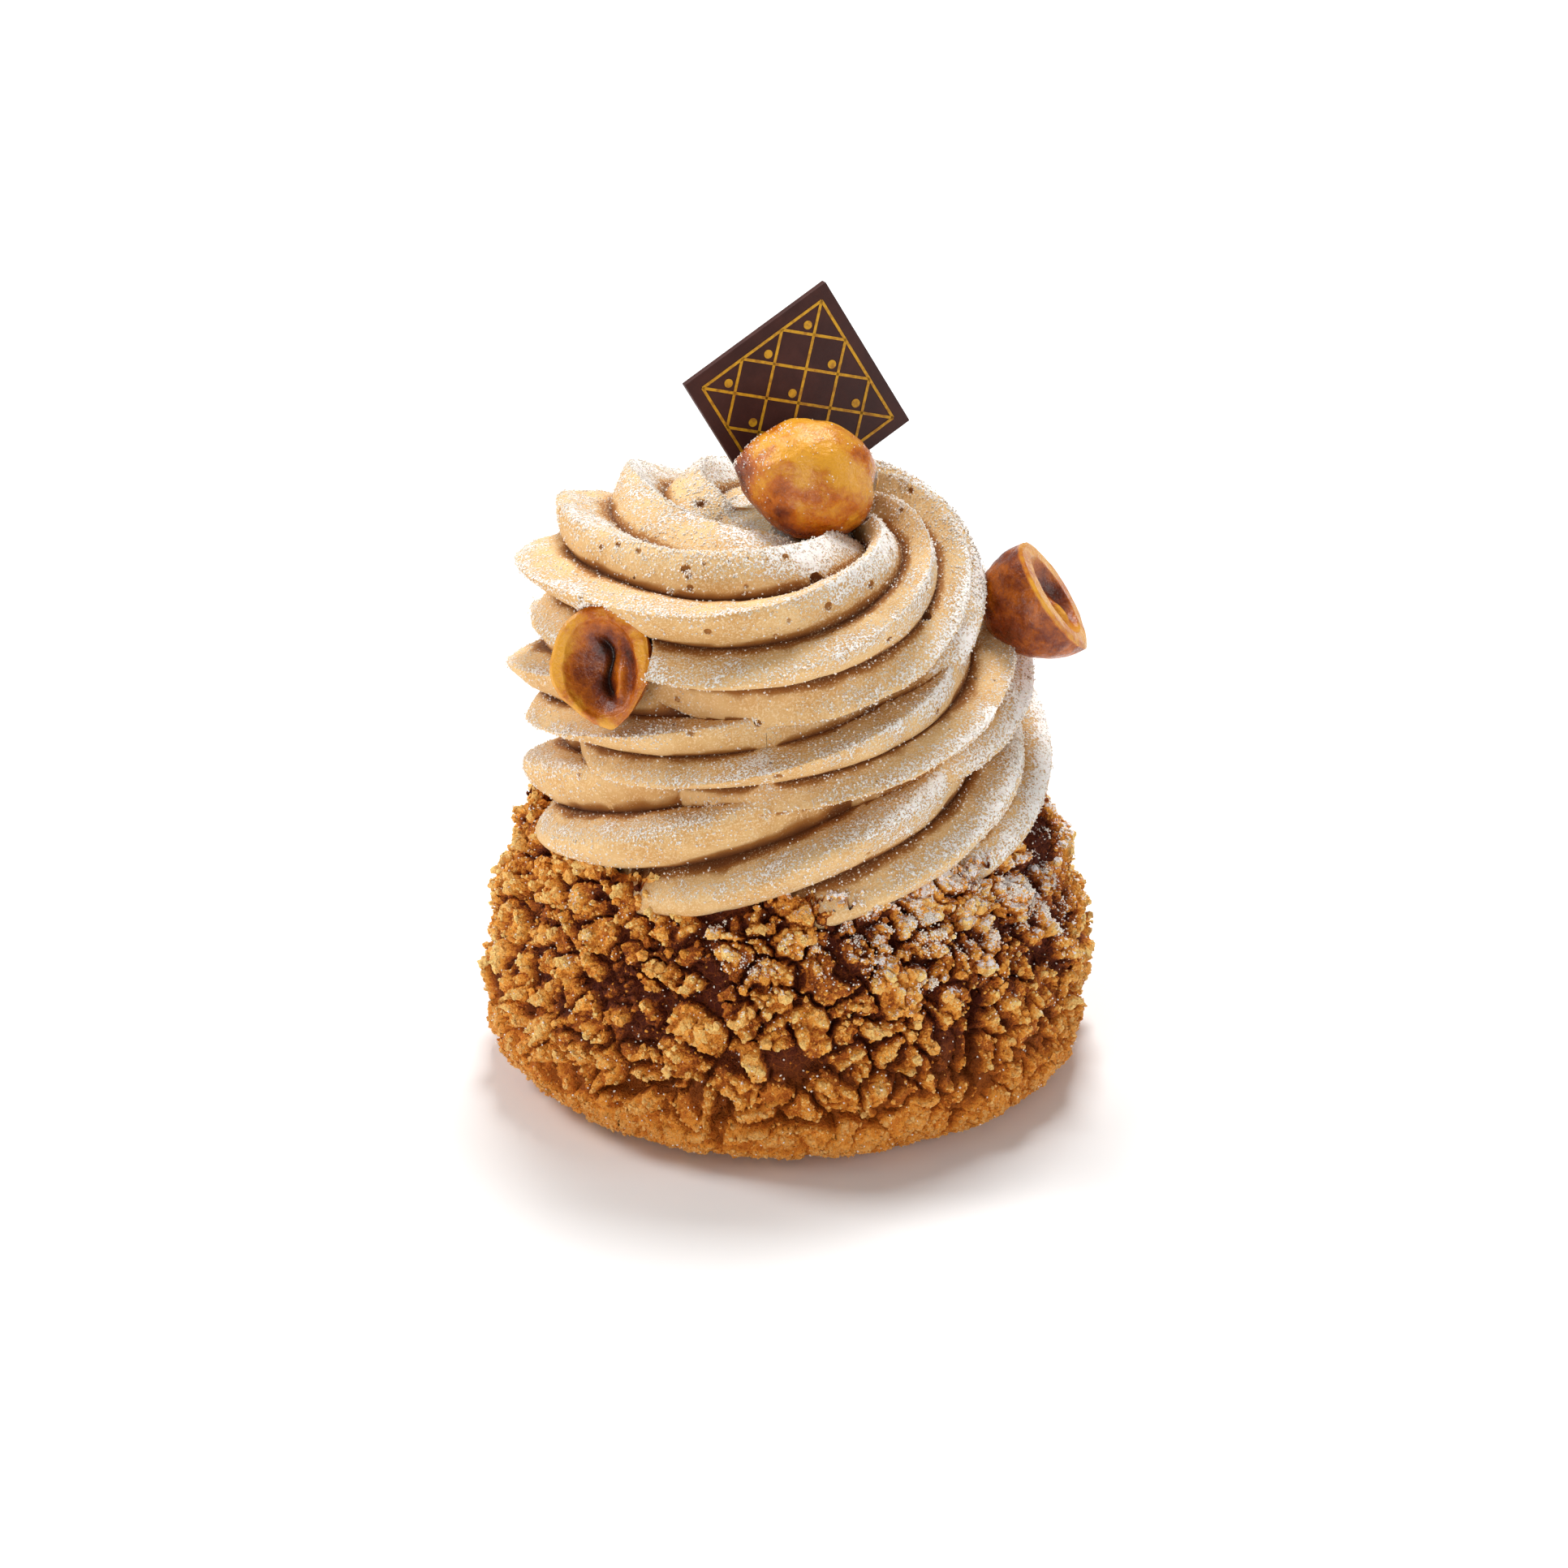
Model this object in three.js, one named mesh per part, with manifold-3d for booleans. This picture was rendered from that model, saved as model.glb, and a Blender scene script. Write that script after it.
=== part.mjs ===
// A round choux bun with a crackled crumble crust, opened at the top and piped full of
// praline cream. The cream is a star-piped rope that climbs in three turns. It carries one
// whole hazelnut, two half hazelnuts and a thin square of dark chocolate.
// Millimetres, +Z up. The origin is the middle of the bun's flat foot, and -Y is the front.

import * as THREE from 'three';
import { ParametricGeometry } from 'three/addons/geometries/ParametricGeometry.js';
import { mergeVertices } from 'three/addons/utils/BufferGeometryUtils.js';
import Module from 'manifold-3d';

const wasm = await Module();
wasm.setup();

// ---------------------------------------------------------------- driving dimensions

const CLEARANCE = 0.3;            // gap left between pieces that rest on each other
const MERGE_TOLERANCE = 1e-3;
const TURN = 2 * Math.PI;

const BUN = {
  footRadius: 23,
  bellyRadius: 34.2,
  bellyHeight: 10,
  shoulderRadius: 27.6,           // where the side would meet the cut, were the rim not broken
  shoulderHeight: 33.2,
  rimHeight: 32.2,                // the side stops here and turns in to the cut
  cutRadius: 26.6,
  cutHeight: 31,
  undersideFullness: 3,
  sideFullness: 2.16,
  around: 96,
  undersideRows: 5,
  sideRows: 13,
};

const CRUST = {
  lumpSize: 7.5,
  lumpHeight: 1.7,
  crumbSize: 3.3,
  crumbHeight: 1.9,
  seed: 11,
};

// The piped rope, one row for each change of the nozzle's course.
// turn: degrees travelled round the axis, from +X towards +Y; radius, height: the middle of
// the rope; halfWidth, halfHeight: out to the ridges; twist: the first ridge's place on it.
const ROPE_COURSE = [
  { turn: 60, radius: 15.5, height: 34.5, halfWidth: 12.5, halfHeight: 9.5, twist: -200 },
  { turn: 150, radius: 16, height: 34.5, halfWidth: 13, halfHeight: 10, twist: -110 },
  { turn: 240, radius: 17, height: 34.5, halfWidth: 14.2, halfHeight: 12.3, twist: -28 },
  { turn: 285, radius: 17, height: 35, halfWidth: 13.8, halfHeight: 11.8, twist: 20 },
  { turn: 330, radius: 16.5, height: 35, halfWidth: 13.5, halfHeight: 10.5, twist: 70 },
  { turn: 420, radius: 16.5, height: 41, halfWidth: 13, halfHeight: 9.5, twist: 158 },
  { turn: 540, radius: 18.5, height: 48, halfWidth: 13, halfHeight: 8, twist: 270 },
  { turn: 630, radius: 18, height: 46, halfWidth: 12.5, halfHeight: 7.5, twist: 375 },
  { turn: 720, radius: 15, height: 48, halfWidth: 12.5, halfHeight: 8.5, twist: 450 },
  { turn: 800, radius: 14.5, height: 54.5, halfWidth: 12.5, halfHeight: 9, twist: 525 },
  { turn: 885, radius: 15.5, height: 60.5, halfWidth: 13, halfHeight: 8.5, twist: 620 },
  { turn: 930, radius: 18, height: 60.5, halfWidth: 14, halfHeight: 8.5, twist: 652 },
  { turn: 975, radius: 18, height: 59, halfWidth: 13, halfHeight: 10, twist: 665 },
  { turn: 1020, radius: 16, height: 58, halfWidth: 11, halfHeight: 10.5, twist: 705 },
  { turn: 1065, radius: 12.5, height: 58, halfWidth: 10, halfHeight: 10.5, twist: 765 },
  { turn: 1110, radius: 10.5, height: 58.5, halfWidth: 9.5, halfHeight: 10.5, twist: 820 },
  { turn: 1190, radius: 9.5, height: 60, halfWidth: 8.5, halfHeight: 9.5, twist: 915 },
];

const ROPE = {
  ridges: 8,
  grooveDepth: 0.3,               // part of the half width
  ridgeSoftness: 0.1,             // 0 is a knife edge
  ridgeLean: 0.58,                // part of each ridge's pitch taken by its upper flank
  pointsPerRidge: 4,
  degreesPerRow: 10,
  startLength: 25,                // degrees over which the blunt start swells
  tailLength: 60,                 // degrees over which the tail runs out
  tailStub: 0.35,                 // part of the section left at the very ends
  pieces: 4,                      // so that no length of rope runs into itself
};

// The filling inside the rope: it stands in the opened bun and carries the top nut.
const FILLING = [
  { radius: 26.3, height: 30 },
  { radius: 26.3, height: 33.2 },
  { radius: 24.5, height: 35.2 },
  { radius: 19, height: 36.5 },
  { radius: 18, height: 50 },
  { radius: 14, height: 58 },
  { radius: 10, height: 62.5 },
  { radius: 7, height: 66 },
];
const FILLING_SIDES = 40;

const NUT = {
  around: 22,
  along: 14,
  bluntness: 0.62,
  scarShift: 0.9,
  facetCount: 3,
  facetHeight: 0.035,
  hollowLength: 0.66,             // parts of the half nut's own length, width and thickness
  hollowWidth: 0.56,
  hollowDepth: 0.42,
};

const WHOLE_NUT = {
  length: 16,
  width: 13.4,
  centre: [2, -5, 71.8],
  axis: [0.97, -0.2, 0.06],
  normal: [0.1, -0.4, 0.9],
};

const LEFT_HALF = {
  length: 13.4,
  width: 11.8,
  centre: [-20.6, -21.2, 55.9],
  axis: [-0.14, 0.4, 0.9],
  normal: [-0.42, -0.82, 0.38],
};

const RIGHT_HALF = {
  length: 13.2,
  width: 11.6,
  centre: [27.3, -3, 57],
  axis: [-0.56, 0.34, 0.76],
  normal: [0.79, -0.07, 0.61],
};

const PLAQUE = {
  side: 19.5,
  thickness: 1,
  edgeRound: 0.12,
  centre: [1, 4.5, 77],
  yaw: 22,
  lean: 6,
  roll: 29,
};

// ---------------------------------------------------------------- small tools

const radians = THREE.MathUtils.degToRad;
const clamp = THREE.MathUtils.clamp;
const lerp = THREE.MathUtils.lerp;

// A seeded value between 0 and 1 for each point of a whole-number lattice.
function latticeValue(x, y, z, seed) {
  let hash = (x * 374761393 + y * 668265263 + z * 2147483647 + seed * 144269504) | 0;
  hash = Math.imul(hash ^ (hash >>> 13), 1274126177);
  hash = Math.imul(hash ^ (hash >>> 16), 668265263);
  return ((hash ^ (hash >>> 15)) >>> 0) / 4294967295;
}

// Smooth noise between 0 and 1, with lumps one unit across.
function smoothNoise(x, y, z, seed) {
  const [x0, y0, z0] = [x, y, z].map(Math.floor);
  const [fx, fy, fz] = [x - x0, y - y0, z - z0].map((f) => f * f * (3 - 2 * f));
  const along = (dy, dz) => lerp(
    latticeValue(x0, y0 + dy, z0 + dz, seed),
    latticeValue(x0 + 1, y0 + dy, z0 + dz, seed),
    fx,
  );
  return lerp(lerp(along(0, 0), along(1, 0), fy), lerp(along(0, 1), along(1, 1), fy), fz);
}

// A closed surface becomes a solid once its seams and poles are merged.
function toSolid(geometry) {
  const bare = geometry.clone();
  bare.deleteAttribute('normal');
  bare.deleteAttribute('uv');
  const merged = mergeVertices(bare, MERGE_TOLERANCE);
  const corners = merged.index.array;
  const kept = [];
  for (let i = 0; i < corners.length; i += 3) {
    const [a, b, c] = [corners[i], corners[i + 1], corners[i + 2]];
    if (a !== b && b !== c && c !== a) kept.push(a, b, c);
  }
  const mesh = new wasm.Mesh({
    numProp: 3,
    vertProperties: Float32Array.from(merged.attributes.position.array),
    triVerts: Uint32Array.from(kept),
  });
  return new wasm.Manifold(mesh);
}

function toGeometry(solid) {
  const mesh = solid.getMesh();
  const geometry = new THREE.BufferGeometry();
  geometry.setAttribute('position', new THREE.BufferAttribute(mesh.vertProperties, 3));
  geometry.setIndex(new THREE.BufferAttribute(mesh.triVerts, 1));
  geometry.computeVertexNormals();
  return geometry;
}

// Cutting can leave a loose scrap: only the main body is kept.
function largestBody(solid) {
  return solid.decompose().reduce((best, body) => (body.volume() > best.volume() ? body : best));
}

// Places a shape modelled along X, with its flat or front side facing Z.
function placement(centre, axis, normal) {
  const facing = new THREE.Vector3(...normal).normalize();
  const across = new THREE.Vector3().crossVectors(facing, new THREE.Vector3(...axis)).normalize();
  const along = new THREE.Vector3().crossVectors(across, facing);
  return new THREE.Matrix4().makeBasis(along, across, facing).setPosition(...centre);
}

// ---------------------------------------------------------------- the bun

// The profile from the middle of the foot, up the side and in to the middle of the cut.
function bunProfile(grow) {
  const points = [{ radius: 0, height: -grow, relief: 0 }];
  for (let i = 0; i <= BUN.undersideRows; i += 1) {
    const t = i / BUN.undersideRows;
    const swell = (1 - (1 - t) ** BUN.undersideFullness) ** (1 / BUN.undersideFullness);
    const radius = lerp(BUN.footRadius, BUN.bellyRadius, swell);
    points.push({ radius: radius + grow, height: t * BUN.bellyHeight, relief: t });
  }
  points[1].height = -grow;
  for (let i = 1; i <= BUN.sideRows; i += 1) {
    const height = lerp(BUN.bellyHeight, BUN.rimHeight, i / BUN.sideRows);
    const t = (height - BUN.bellyHeight) / (BUN.shoulderHeight - BUN.bellyHeight);
    const radius = lerp(BUN.shoulderRadius, BUN.bellyRadius, 1 - t ** BUN.sideFullness);
    points.push({ radius: radius + grow, height: height + grow * t, relief: 1 });
  }
  points.push({ radius: BUN.cutRadius, height: BUN.cutHeight + grow, relief: 0 });
  points.push({ radius: 0, height: BUN.cutHeight + grow, relief: 0 });
  return points;
}

// How far the crumble crust stands proud of the smooth bun.
function crustRelief(x, y, z) {
  const { lumpSize, crumbSize, seed } = CRUST;
  const lump = smoothNoise(x / lumpSize, y / lumpSize, z / lumpSize, seed) - 0.5;
  const crumb = smoothNoise(x / crumbSize, y / crumbSize, z / crumbSize, seed + 1) - 0.5;
  return lump * CRUST.lumpHeight + crumb * CRUST.crumbHeight;
}

function bunGeometry(grow = 0) {
  const profile = bunProfile(grow);
  const lastRow = profile.length - 1;
  return new ParametricGeometry((u, v, target) => {
    const { radius, height, relief } = profile[Math.round(v * lastRow)];
    const angle = Math.round(u * BUN.around) % BUN.around * (TURN / BUN.around);
    const [c, s] = [Math.cos(angle), Math.sin(angle)];
    const smooth = radius - grow;
    const out = radius + relief * crustRelief(smooth * c, smooth * s, height);
    target.set(out * c, out * s, height);
  }, BUN.around, lastRow);
}

// ---------------------------------------------------------------- the piped cream

const ROPE_SIZES = ['radius', 'height', 'halfWidth', 'halfHeight', 'twist'];
const ropeCourse = new THREE.CubicInterpolant(
  Float64Array.from(ROPE_COURSE, (row) => row.turn),
  Float64Array.from(ROPE_COURSE.flatMap((row) => ROPE_SIZES.map((key) => row[key]))),
  ROPE_SIZES.length,
);

// The rope's sizes at any turn, on a smooth curve through the rows of its course.
function ropeAt(turn) {
  const [radius, height, halfWidth, halfHeight, twist] = ropeCourse.evaluate(turn);
  return { radius, height, halfWidth, halfHeight, twist };
}

// The star section: 1 on a ridge, less in the grooves. around is in ridge pitches.
function starSection(around) {
  const place = around - Math.floor(around);
  const lower = 1 - ROPE.ridgeLean;
  const toGroove = place < lower ? place / lower : (1 - place) / ROPE.ridgeLean;
  const soft = ROPE.ridgeSoftness;
  const fall = (Math.hypot(toGroove, soft) - soft) / (Math.hypot(1, soft) - soft);
  return 1 - ROPE.grooveDepth * fall;
}

// The rope's blunt start and its tail, as a part of the full section.
function endTaper(turn) {
  const first = ROPE_COURSE[0].turn;
  const end = ROPE_COURSE[ROPE_COURSE.length - 1].turn;
  const swell = (gone) => Math.sqrt(1 - (1 - clamp(gone, 0, 1)) ** 2);
  const size = swell((turn - first) / ROPE.startLength) * swell((end - turn) / ROPE.tailLength);
  return Math.max(size, ROPE.tailStub);
}

// One length of rope, closed at both ends by a flat star.
function ropeGeometry(from, to) {
  const rows = Math.round((to - from) / ROPE.degreesPerRow);
  const columns = ROPE.ridges * ROPE.pointsPerRidge;
  const groovePlace = 1 - ROPE.ridgeLean;
  const places = [0, groovePlace / 2, groovePlace, (1 + groovePlace) / 2];
  return new ParametricGeometry((u, v, target) => {
    const row = Math.round(v * (rows + 2)) - 1;
    const isEnd = row < 0 || row > rows;
    const turn = lerp(from, to, clamp(row / rows, 0, 1));
    const rope = ropeAt(turn);
    const column = (columns - Math.round(u * columns)) % columns;
    const ridge = Math.floor(column / ROPE.pointsPerRidge);
    const around = ridge + places[column % ROPE.pointsPerRidge];
    const size = isEnd ? 0 : endTaper(turn) * starSection(around);
    const angle = radians(rope.twist + around * 360 / ROPE.ridges);
    const out = rope.radius + rope.halfWidth * size * Math.cos(angle);
    const azimuth = radians(turn);
    target.set(
      out * Math.cos(azimuth),
      out * Math.sin(azimuth),
      rope.height + rope.halfHeight * size * Math.sin(angle),
    );
  }, columns, rows + 2);
}

function fillingGeometry() {
  const outline = FILLING.map(({ radius, height }) => new THREE.Vector2(radius, height));
  const foot = new THREE.Vector2(0, FILLING[0].height);
  const crown = new THREE.Vector2(0, FILLING[FILLING.length - 1].height);
  const geometry = new THREE.LatheGeometry([foot, ...outline, crown], FILLING_SIDES);
  return geometry.rotateX(Math.PI / 2);
}

function creamSolid(neighbours) {
  const first = ROPE_COURSE[0].turn;
  const length = ROPE_COURSE[ROPE_COURSE.length - 1].turn - first;
  let cream = toSolid(fillingGeometry());
  for (let i = 0; i < ROPE.pieces; i += 1) {
    const [from, to] = [i, i + 1].map((k) => {
      const rows = Math.round(length * k / ROPE.pieces / ROPE.degreesPerRow);
      return first + rows * ROPE.degreesPerRow;
    });
    cream = cream.add(toSolid(ropeGeometry(from, to)));
  }
  for (const neighbour of neighbours) cream = cream.subtract(neighbour);
  return largestBody(cream);
}

// ---------------------------------------------------------------- the hazelnuts

// A hazelnut along X: a broad scarred end at +X and a blunt point at -X.
function nutGeometry({ length, width }, grow = 0) {
  return new ParametricGeometry((u, v, target) => {
    const column = Math.round(u * NUT.around) % NUT.around;
    const angle = column * TURN / NUT.around;
    const swell = Math.sin(Math.PI * v ** NUT.scarShift);
    const isPole = v === 0 || v === 1;
    const facet = 1 + NUT.facetHeight * Math.cos(NUT.facetCount * angle);
    const out = isPole ? 0 : (width / 2 * swell ** NUT.bluntness + grow) * facet;
    const along = (0.5 - v) * (length + 2 * grow);
    target.set(along, out * Math.sin(angle), out * Math.cos(angle));
  }, NUT.around, NUT.along);
}

function nutSolid(size, grow = 0) {
  const place = placement(size.centre, size.axis, size.normal);
  return toSolid(nutGeometry(size, grow).applyMatrix4(place));
}

// Half a nut: the cut face looks along the normal and is hollow in the middle.
function halfNutSolid(size) {
  const place = placement(size.centre, size.axis, size.normal);
  const reach = 2 * size.length;
  const above = new THREE.BoxGeometry(reach, reach, reach);
  above.translate(0, 0, reach / 2);
  const half = nutSolid(size).subtract(toSolid(above.applyMatrix4(place)));
  const hollow = new THREE.SphereGeometry(1, NUT.around - 6, NUT.along - 4);
  hollow.scale(
    size.length / 2 * NUT.hollowLength,
    size.width / 2 * NUT.hollowWidth,
    size.width / 2 * NUT.hollowDepth,
  );
  return largestBody(half.subtract(toSolid(hollow.applyMatrix4(place))));
}

// ---------------------------------------------------------------- the chocolate square

function plaqueGeometry(grow = 0) {
  const half = PLAQUE.side / 2 + grow - PLAQUE.edgeRound;
  const outline = new THREE.Shape([
    new THREE.Vector2(-half, -half),
    new THREE.Vector2(half, -half),
    new THREE.Vector2(half, half),
    new THREE.Vector2(-half, half),
  ]);
  const depth = PLAQUE.thickness + 2 * (grow - PLAQUE.edgeRound);
  const geometry = new THREE.ExtrudeGeometry(outline, {
    depth,
    bevelEnabled: true,
    bevelThickness: PLAQUE.edgeRound,
    bevelSize: PLAQUE.edgeRound,
    bevelSegments: 1,
  });
  geometry.translate(0, 0, -depth / 2);
  geometry.rotateZ(radians(PLAQUE.roll));
  geometry.rotateX(radians(90 - PLAQUE.lean));
  geometry.rotateZ(radians(PLAQUE.yaw));
  return geometry.translate(...PLAQUE.centre);
}

// ---------------------------------------------------------------- the whole pastry

const finishes = {
  crust: new THREE.MeshStandardMaterial({ color: 0x98602f, roughness: 0.85 }),
  cream: new THREE.MeshStandardMaterial({ color: 0xdcc39a, roughness: 0.7 }),
  nut: new THREE.MeshStandardMaterial({ color: 0xb87226, roughness: 0.35 }),
  chocolate: new THREE.MeshStandardMaterial({ color: 0x3c1a16, roughness: 0.4 }),
};

function piece(name, solid, finish) {
  const mesh = new THREE.Mesh(toGeometry(solid), finish.clone());
  mesh.name = name;
  return mesh;
}

// A half nut was pressed in, so it pushed away the cream before its cut face as well.
const creamNeighbours = [
  toSolid(bunGeometry(CLEARANCE)),
  nutSolid(WHOLE_NUT, CLEARANCE),
  nutSolid(LEFT_HALF, CLEARANCE),
  nutSolid(RIGHT_HALF, CLEARANCE),
  toSolid(plaqueGeometry(CLEARANCE)),
];

const pastry = new THREE.Group();
pastry.name = 'pastry';
pastry.add(
  piece('bun', toSolid(bunGeometry()), finishes.crust),
  piece('cream', creamSolid(creamNeighbours), finishes.cream),
  piece('hazelnut_whole', nutSolid(WHOLE_NUT), finishes.nut),
  piece('hazelnut_half_left', halfNutSolid(LEFT_HALF), finishes.nut),
  piece('hazelnut_half_right', halfNutSolid(RIGHT_HALF), finishes.nut),
  piece('chocolate_plaque', toSolid(plaqueGeometry()), finishes.chocolate),
);

export default pastry;
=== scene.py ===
"""A round choux bun with a crackled crumble crust, opened at the top and piped with cream.

The praline cream is a star-piped rope that climbs in three turns. It carries one whole
hazelnut, two half hazelnuts and a thin square of dark chocolate printed in gold.
Sizes here are millimetres and meshes are metres. +Z is up and -Y is the front.
"""

import logging
import math
from dataclasses import dataclass
from enum import Enum
from typing import Protocol

import bmesh
import bpy
import numpy as np
from mathutils import Matrix, Vector
from mathutils.bvhtree import BVHTree
from mathutils.kdtree import KDTree


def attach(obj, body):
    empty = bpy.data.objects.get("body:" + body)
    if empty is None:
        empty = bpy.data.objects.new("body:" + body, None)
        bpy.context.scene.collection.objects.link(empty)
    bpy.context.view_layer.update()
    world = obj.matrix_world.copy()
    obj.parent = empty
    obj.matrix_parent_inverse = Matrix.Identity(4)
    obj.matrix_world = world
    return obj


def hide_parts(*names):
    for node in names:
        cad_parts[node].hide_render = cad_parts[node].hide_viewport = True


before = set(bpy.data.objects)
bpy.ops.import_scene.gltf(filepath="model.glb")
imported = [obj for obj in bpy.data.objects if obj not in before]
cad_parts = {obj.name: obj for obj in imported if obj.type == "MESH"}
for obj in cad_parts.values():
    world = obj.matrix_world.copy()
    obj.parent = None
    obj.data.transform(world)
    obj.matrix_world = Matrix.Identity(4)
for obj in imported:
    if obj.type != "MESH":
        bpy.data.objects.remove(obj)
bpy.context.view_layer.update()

log = logging.getLogger("pastry")

MM = 0.001
TURN = 2 * math.pi
MERGE_DISTANCE = 1e-6
NEAR_ZERO = 1e-9
TABLE_CLEARANCE = 0.05


class Slot(Enum):
    """The record's material slots."""

    CRUST = "crust"
    CREAM = "cream"
    HAZELNUT = "hazelnut"
    CHOCOLATE = "chocolate"
    GOLD = "gold_ink"
    SUGAR = "sugar"


class Joining(Enum):
    """How closed bodies are put together."""

    UNION = "UNION"
    DIFFERENCE = "DIFFERENCE"


# ------------------------------------------------------------------ noise and curves


def lattice_value(cells: np.ndarray, seed: int) -> np.ndarray:
    """Gives each point of a whole-number lattice a seeded value.

    Args:
        cells: lattice places, shape (n, 3).
        seed: picks one of many patterns.

    Returns:
        One value between 0 and 1 for each place.
    """
    low = np.uint64(0xFFFFFFFF)
    primes = np.array([374761393, 668265263, 2147483647], dtype=np.int64)
    mixed = (cells.astype(np.int64) * primes).sum(axis=1) + seed * 144269504
    bits = mixed.astype(np.uint64) & low
    bits = ((bits ^ (bits >> np.uint64(13))) * np.uint64(1274126177)) & low
    bits = ((bits ^ (bits >> np.uint64(16))) * np.uint64(668265263)) & low
    return (bits ^ (bits >> np.uint64(15))).astype(np.float64) / 4294967295.0


def smooth_noise(points: np.ndarray, lump: float, seed: int) -> np.ndarray:
    """Smooth noise with lumps of one size.

    Args:
        points: places in millimetres, shape (n, 3).
        lump: size of a lump in millimetres.
        seed: picks one of many patterns.

    Returns:
        Noise from -0.5 to 0.5 for each place.
    """
    places = points / lump
    cell = np.floor(places)
    ease = places - cell
    ease = ease * ease * (3 - 2 * ease)
    total = np.zeros(len(points))
    for corner in np.ndindex(2, 2, 2):
        pick = np.array(corner)
        weight = np.where(pick == 1, ease, 1 - ease).prod(axis=1)
        total += weight * lattice_value(cell + pick, seed)
    return total - 0.5


def rough_noise(points: np.ndarray, lump: float, seed: int, octaves: int = 3) -> np.ndarray:
    """Noise with finer noise on top of it.

    Args:
        points: places in millimetres, shape (n, 3).
        lump: size of the largest lumps in millimetres.
        seed: picks one of many patterns.
        octaves: how many sizes of lump, each half the one before.

    Returns:
        Noise of about -0.5 to 0.5 for each place.
    """
    layers = [smooth_noise(points, lump / 2**k, seed + k) / 2**k for k in range(octaves)]
    return np.sum(layers, axis=0)


def ramp(values: np.ndarray, low: float, high: float) -> np.ndarray:
    """A soft step from 0 at low to 1 at high.

    Args:
        values: any numbers.
        low: where the step starts.
        high: where it ends.

    Returns:
        Numbers from 0 to 1.
    """
    t = np.clip((values - low) / (high - low), 0, 1)
    return t * t * (3 - 2 * t)


def through_stations(places: np.ndarray, sizes: np.ndarray, at: np.ndarray) -> np.ndarray:
    """Follows a smooth cubic curve through a few stations.

    Args:
        places: where the stations stand, rising.
        sizes: one row of sizes for each station.
        at: where the curve is read.

    Returns:
        One row of sizes for each place in at.
    """
    last = len(places) - 1
    after = np.clip(np.searchsorted(places, at, side="right"), 1, last)
    before = after - 1
    outer_before = np.where(before == 0, after, before - 1)
    outer_after = np.where(after == last, before, after + 1)
    span = places[after] - places[before]
    pull_before = 0.5 * span / (places[before] - places[outer_before])
    pull_after = 0.5 * span / (places[outer_after] - places[after])
    p = (at - places[before]) / span
    p2 = p * p
    p3 = p2 * p
    weights = [
        (outer_before, pull_before * (2 * p2 - p3 - p)),
        (before, (1 + pull_before) * p3 + (-1.5 - 2 * pull_before) * p2
         + (pull_before - 0.5) * p + 1),
        (after, (-1 - pull_after) * p3 + (1.5 + pull_after) * p2 + 0.5 * p),
        (outer_after, pull_after * (p3 - p2)),
    ]
    return sum(weight[:, None] * sizes[index] for index, weight in weights)


# ------------------------------------------------------------------ meshes


def add_object(name: str, mesh: bpy.types.Mesh) -> bpy.types.Object:
    """Puts a mesh into the scene at the origin.

    Args:
        name: the new object's name.
        mesh: its mesh, in metres.

    Returns:
        The new object.
    """
    mesh.name = name
    made = bpy.data.objects.new(name, mesh)
    bpy.context.scene.collection.objects.link(made)
    return made


def bmesh_object(name: str, bm: bmesh.types.BMesh) -> bpy.types.Object:
    """Turns a finished bmesh into an object.

    Args:
        name: the new object's name.
        bm: the bmesh, in metres, which is freed.

    Returns:
        The new object.
    """
    mesh = bpy.data.meshes.new(name)
    bm.to_mesh(mesh)
    bm.free()
    return add_object(name, mesh)


def corners_of(mesh: bpy.types.Mesh) -> np.ndarray:
    """Reads a mesh's corners.

    Args:
        mesh: the mesh to read.

    Returns:
        Its vertices in millimetres, shape (n, 3).
    """
    flat = np.empty(len(mesh.vertices) * 3)
    mesh.vertices.foreach_get("co", flat)
    return flat.reshape(-1, 3) / MM


def move_corners(mesh: bpy.types.Mesh, points: np.ndarray) -> None:
    """Moves a mesh's corners to points in millimetres.

    Args:
        mesh: the mesh to change.
        points: the new places, shape (n, 3).
    """
    mesh.vertices.foreach_set("co", (points * MM).reshape(-1))
    mesh.update()


def normals_of(mesh: bpy.types.Mesh) -> np.ndarray:
    """Reads the direction that each corner of a mesh faces.

    Args:
        mesh: the mesh to read.

    Returns:
        Unit vectors, shape (n, 3).
    """
    flat = np.empty(len(mesh.vertices) * 3)
    mesh.vertex_normals.foreach_get("vector", flat)
    return flat.reshape(-1, 3)


def write_mark(mesh: bpy.types.Mesh, name: str, values: np.ndarray) -> None:
    """Writes one number for each corner, for a material to read.

    Args:
        mesh: the mesh to mark.
        name: the attribute's name.
        values: one number for each corner.
    """
    layer = mesh.attributes.new(name, "FLOAT", "POINT")
    layer.data.foreach_set("value", values.astype(np.float32))


def read_mark(mesh: bpy.types.Mesh, name: str) -> np.ndarray:
    """Reads back the numbers of one mark.

    Args:
        mesh: the marked mesh.
        name: the attribute's name.

    Returns:
        One number for each corner.
    """
    values = np.empty(len(mesh.vertices))
    mesh.attributes[name].data.foreach_get("value", values)
    return values


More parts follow.
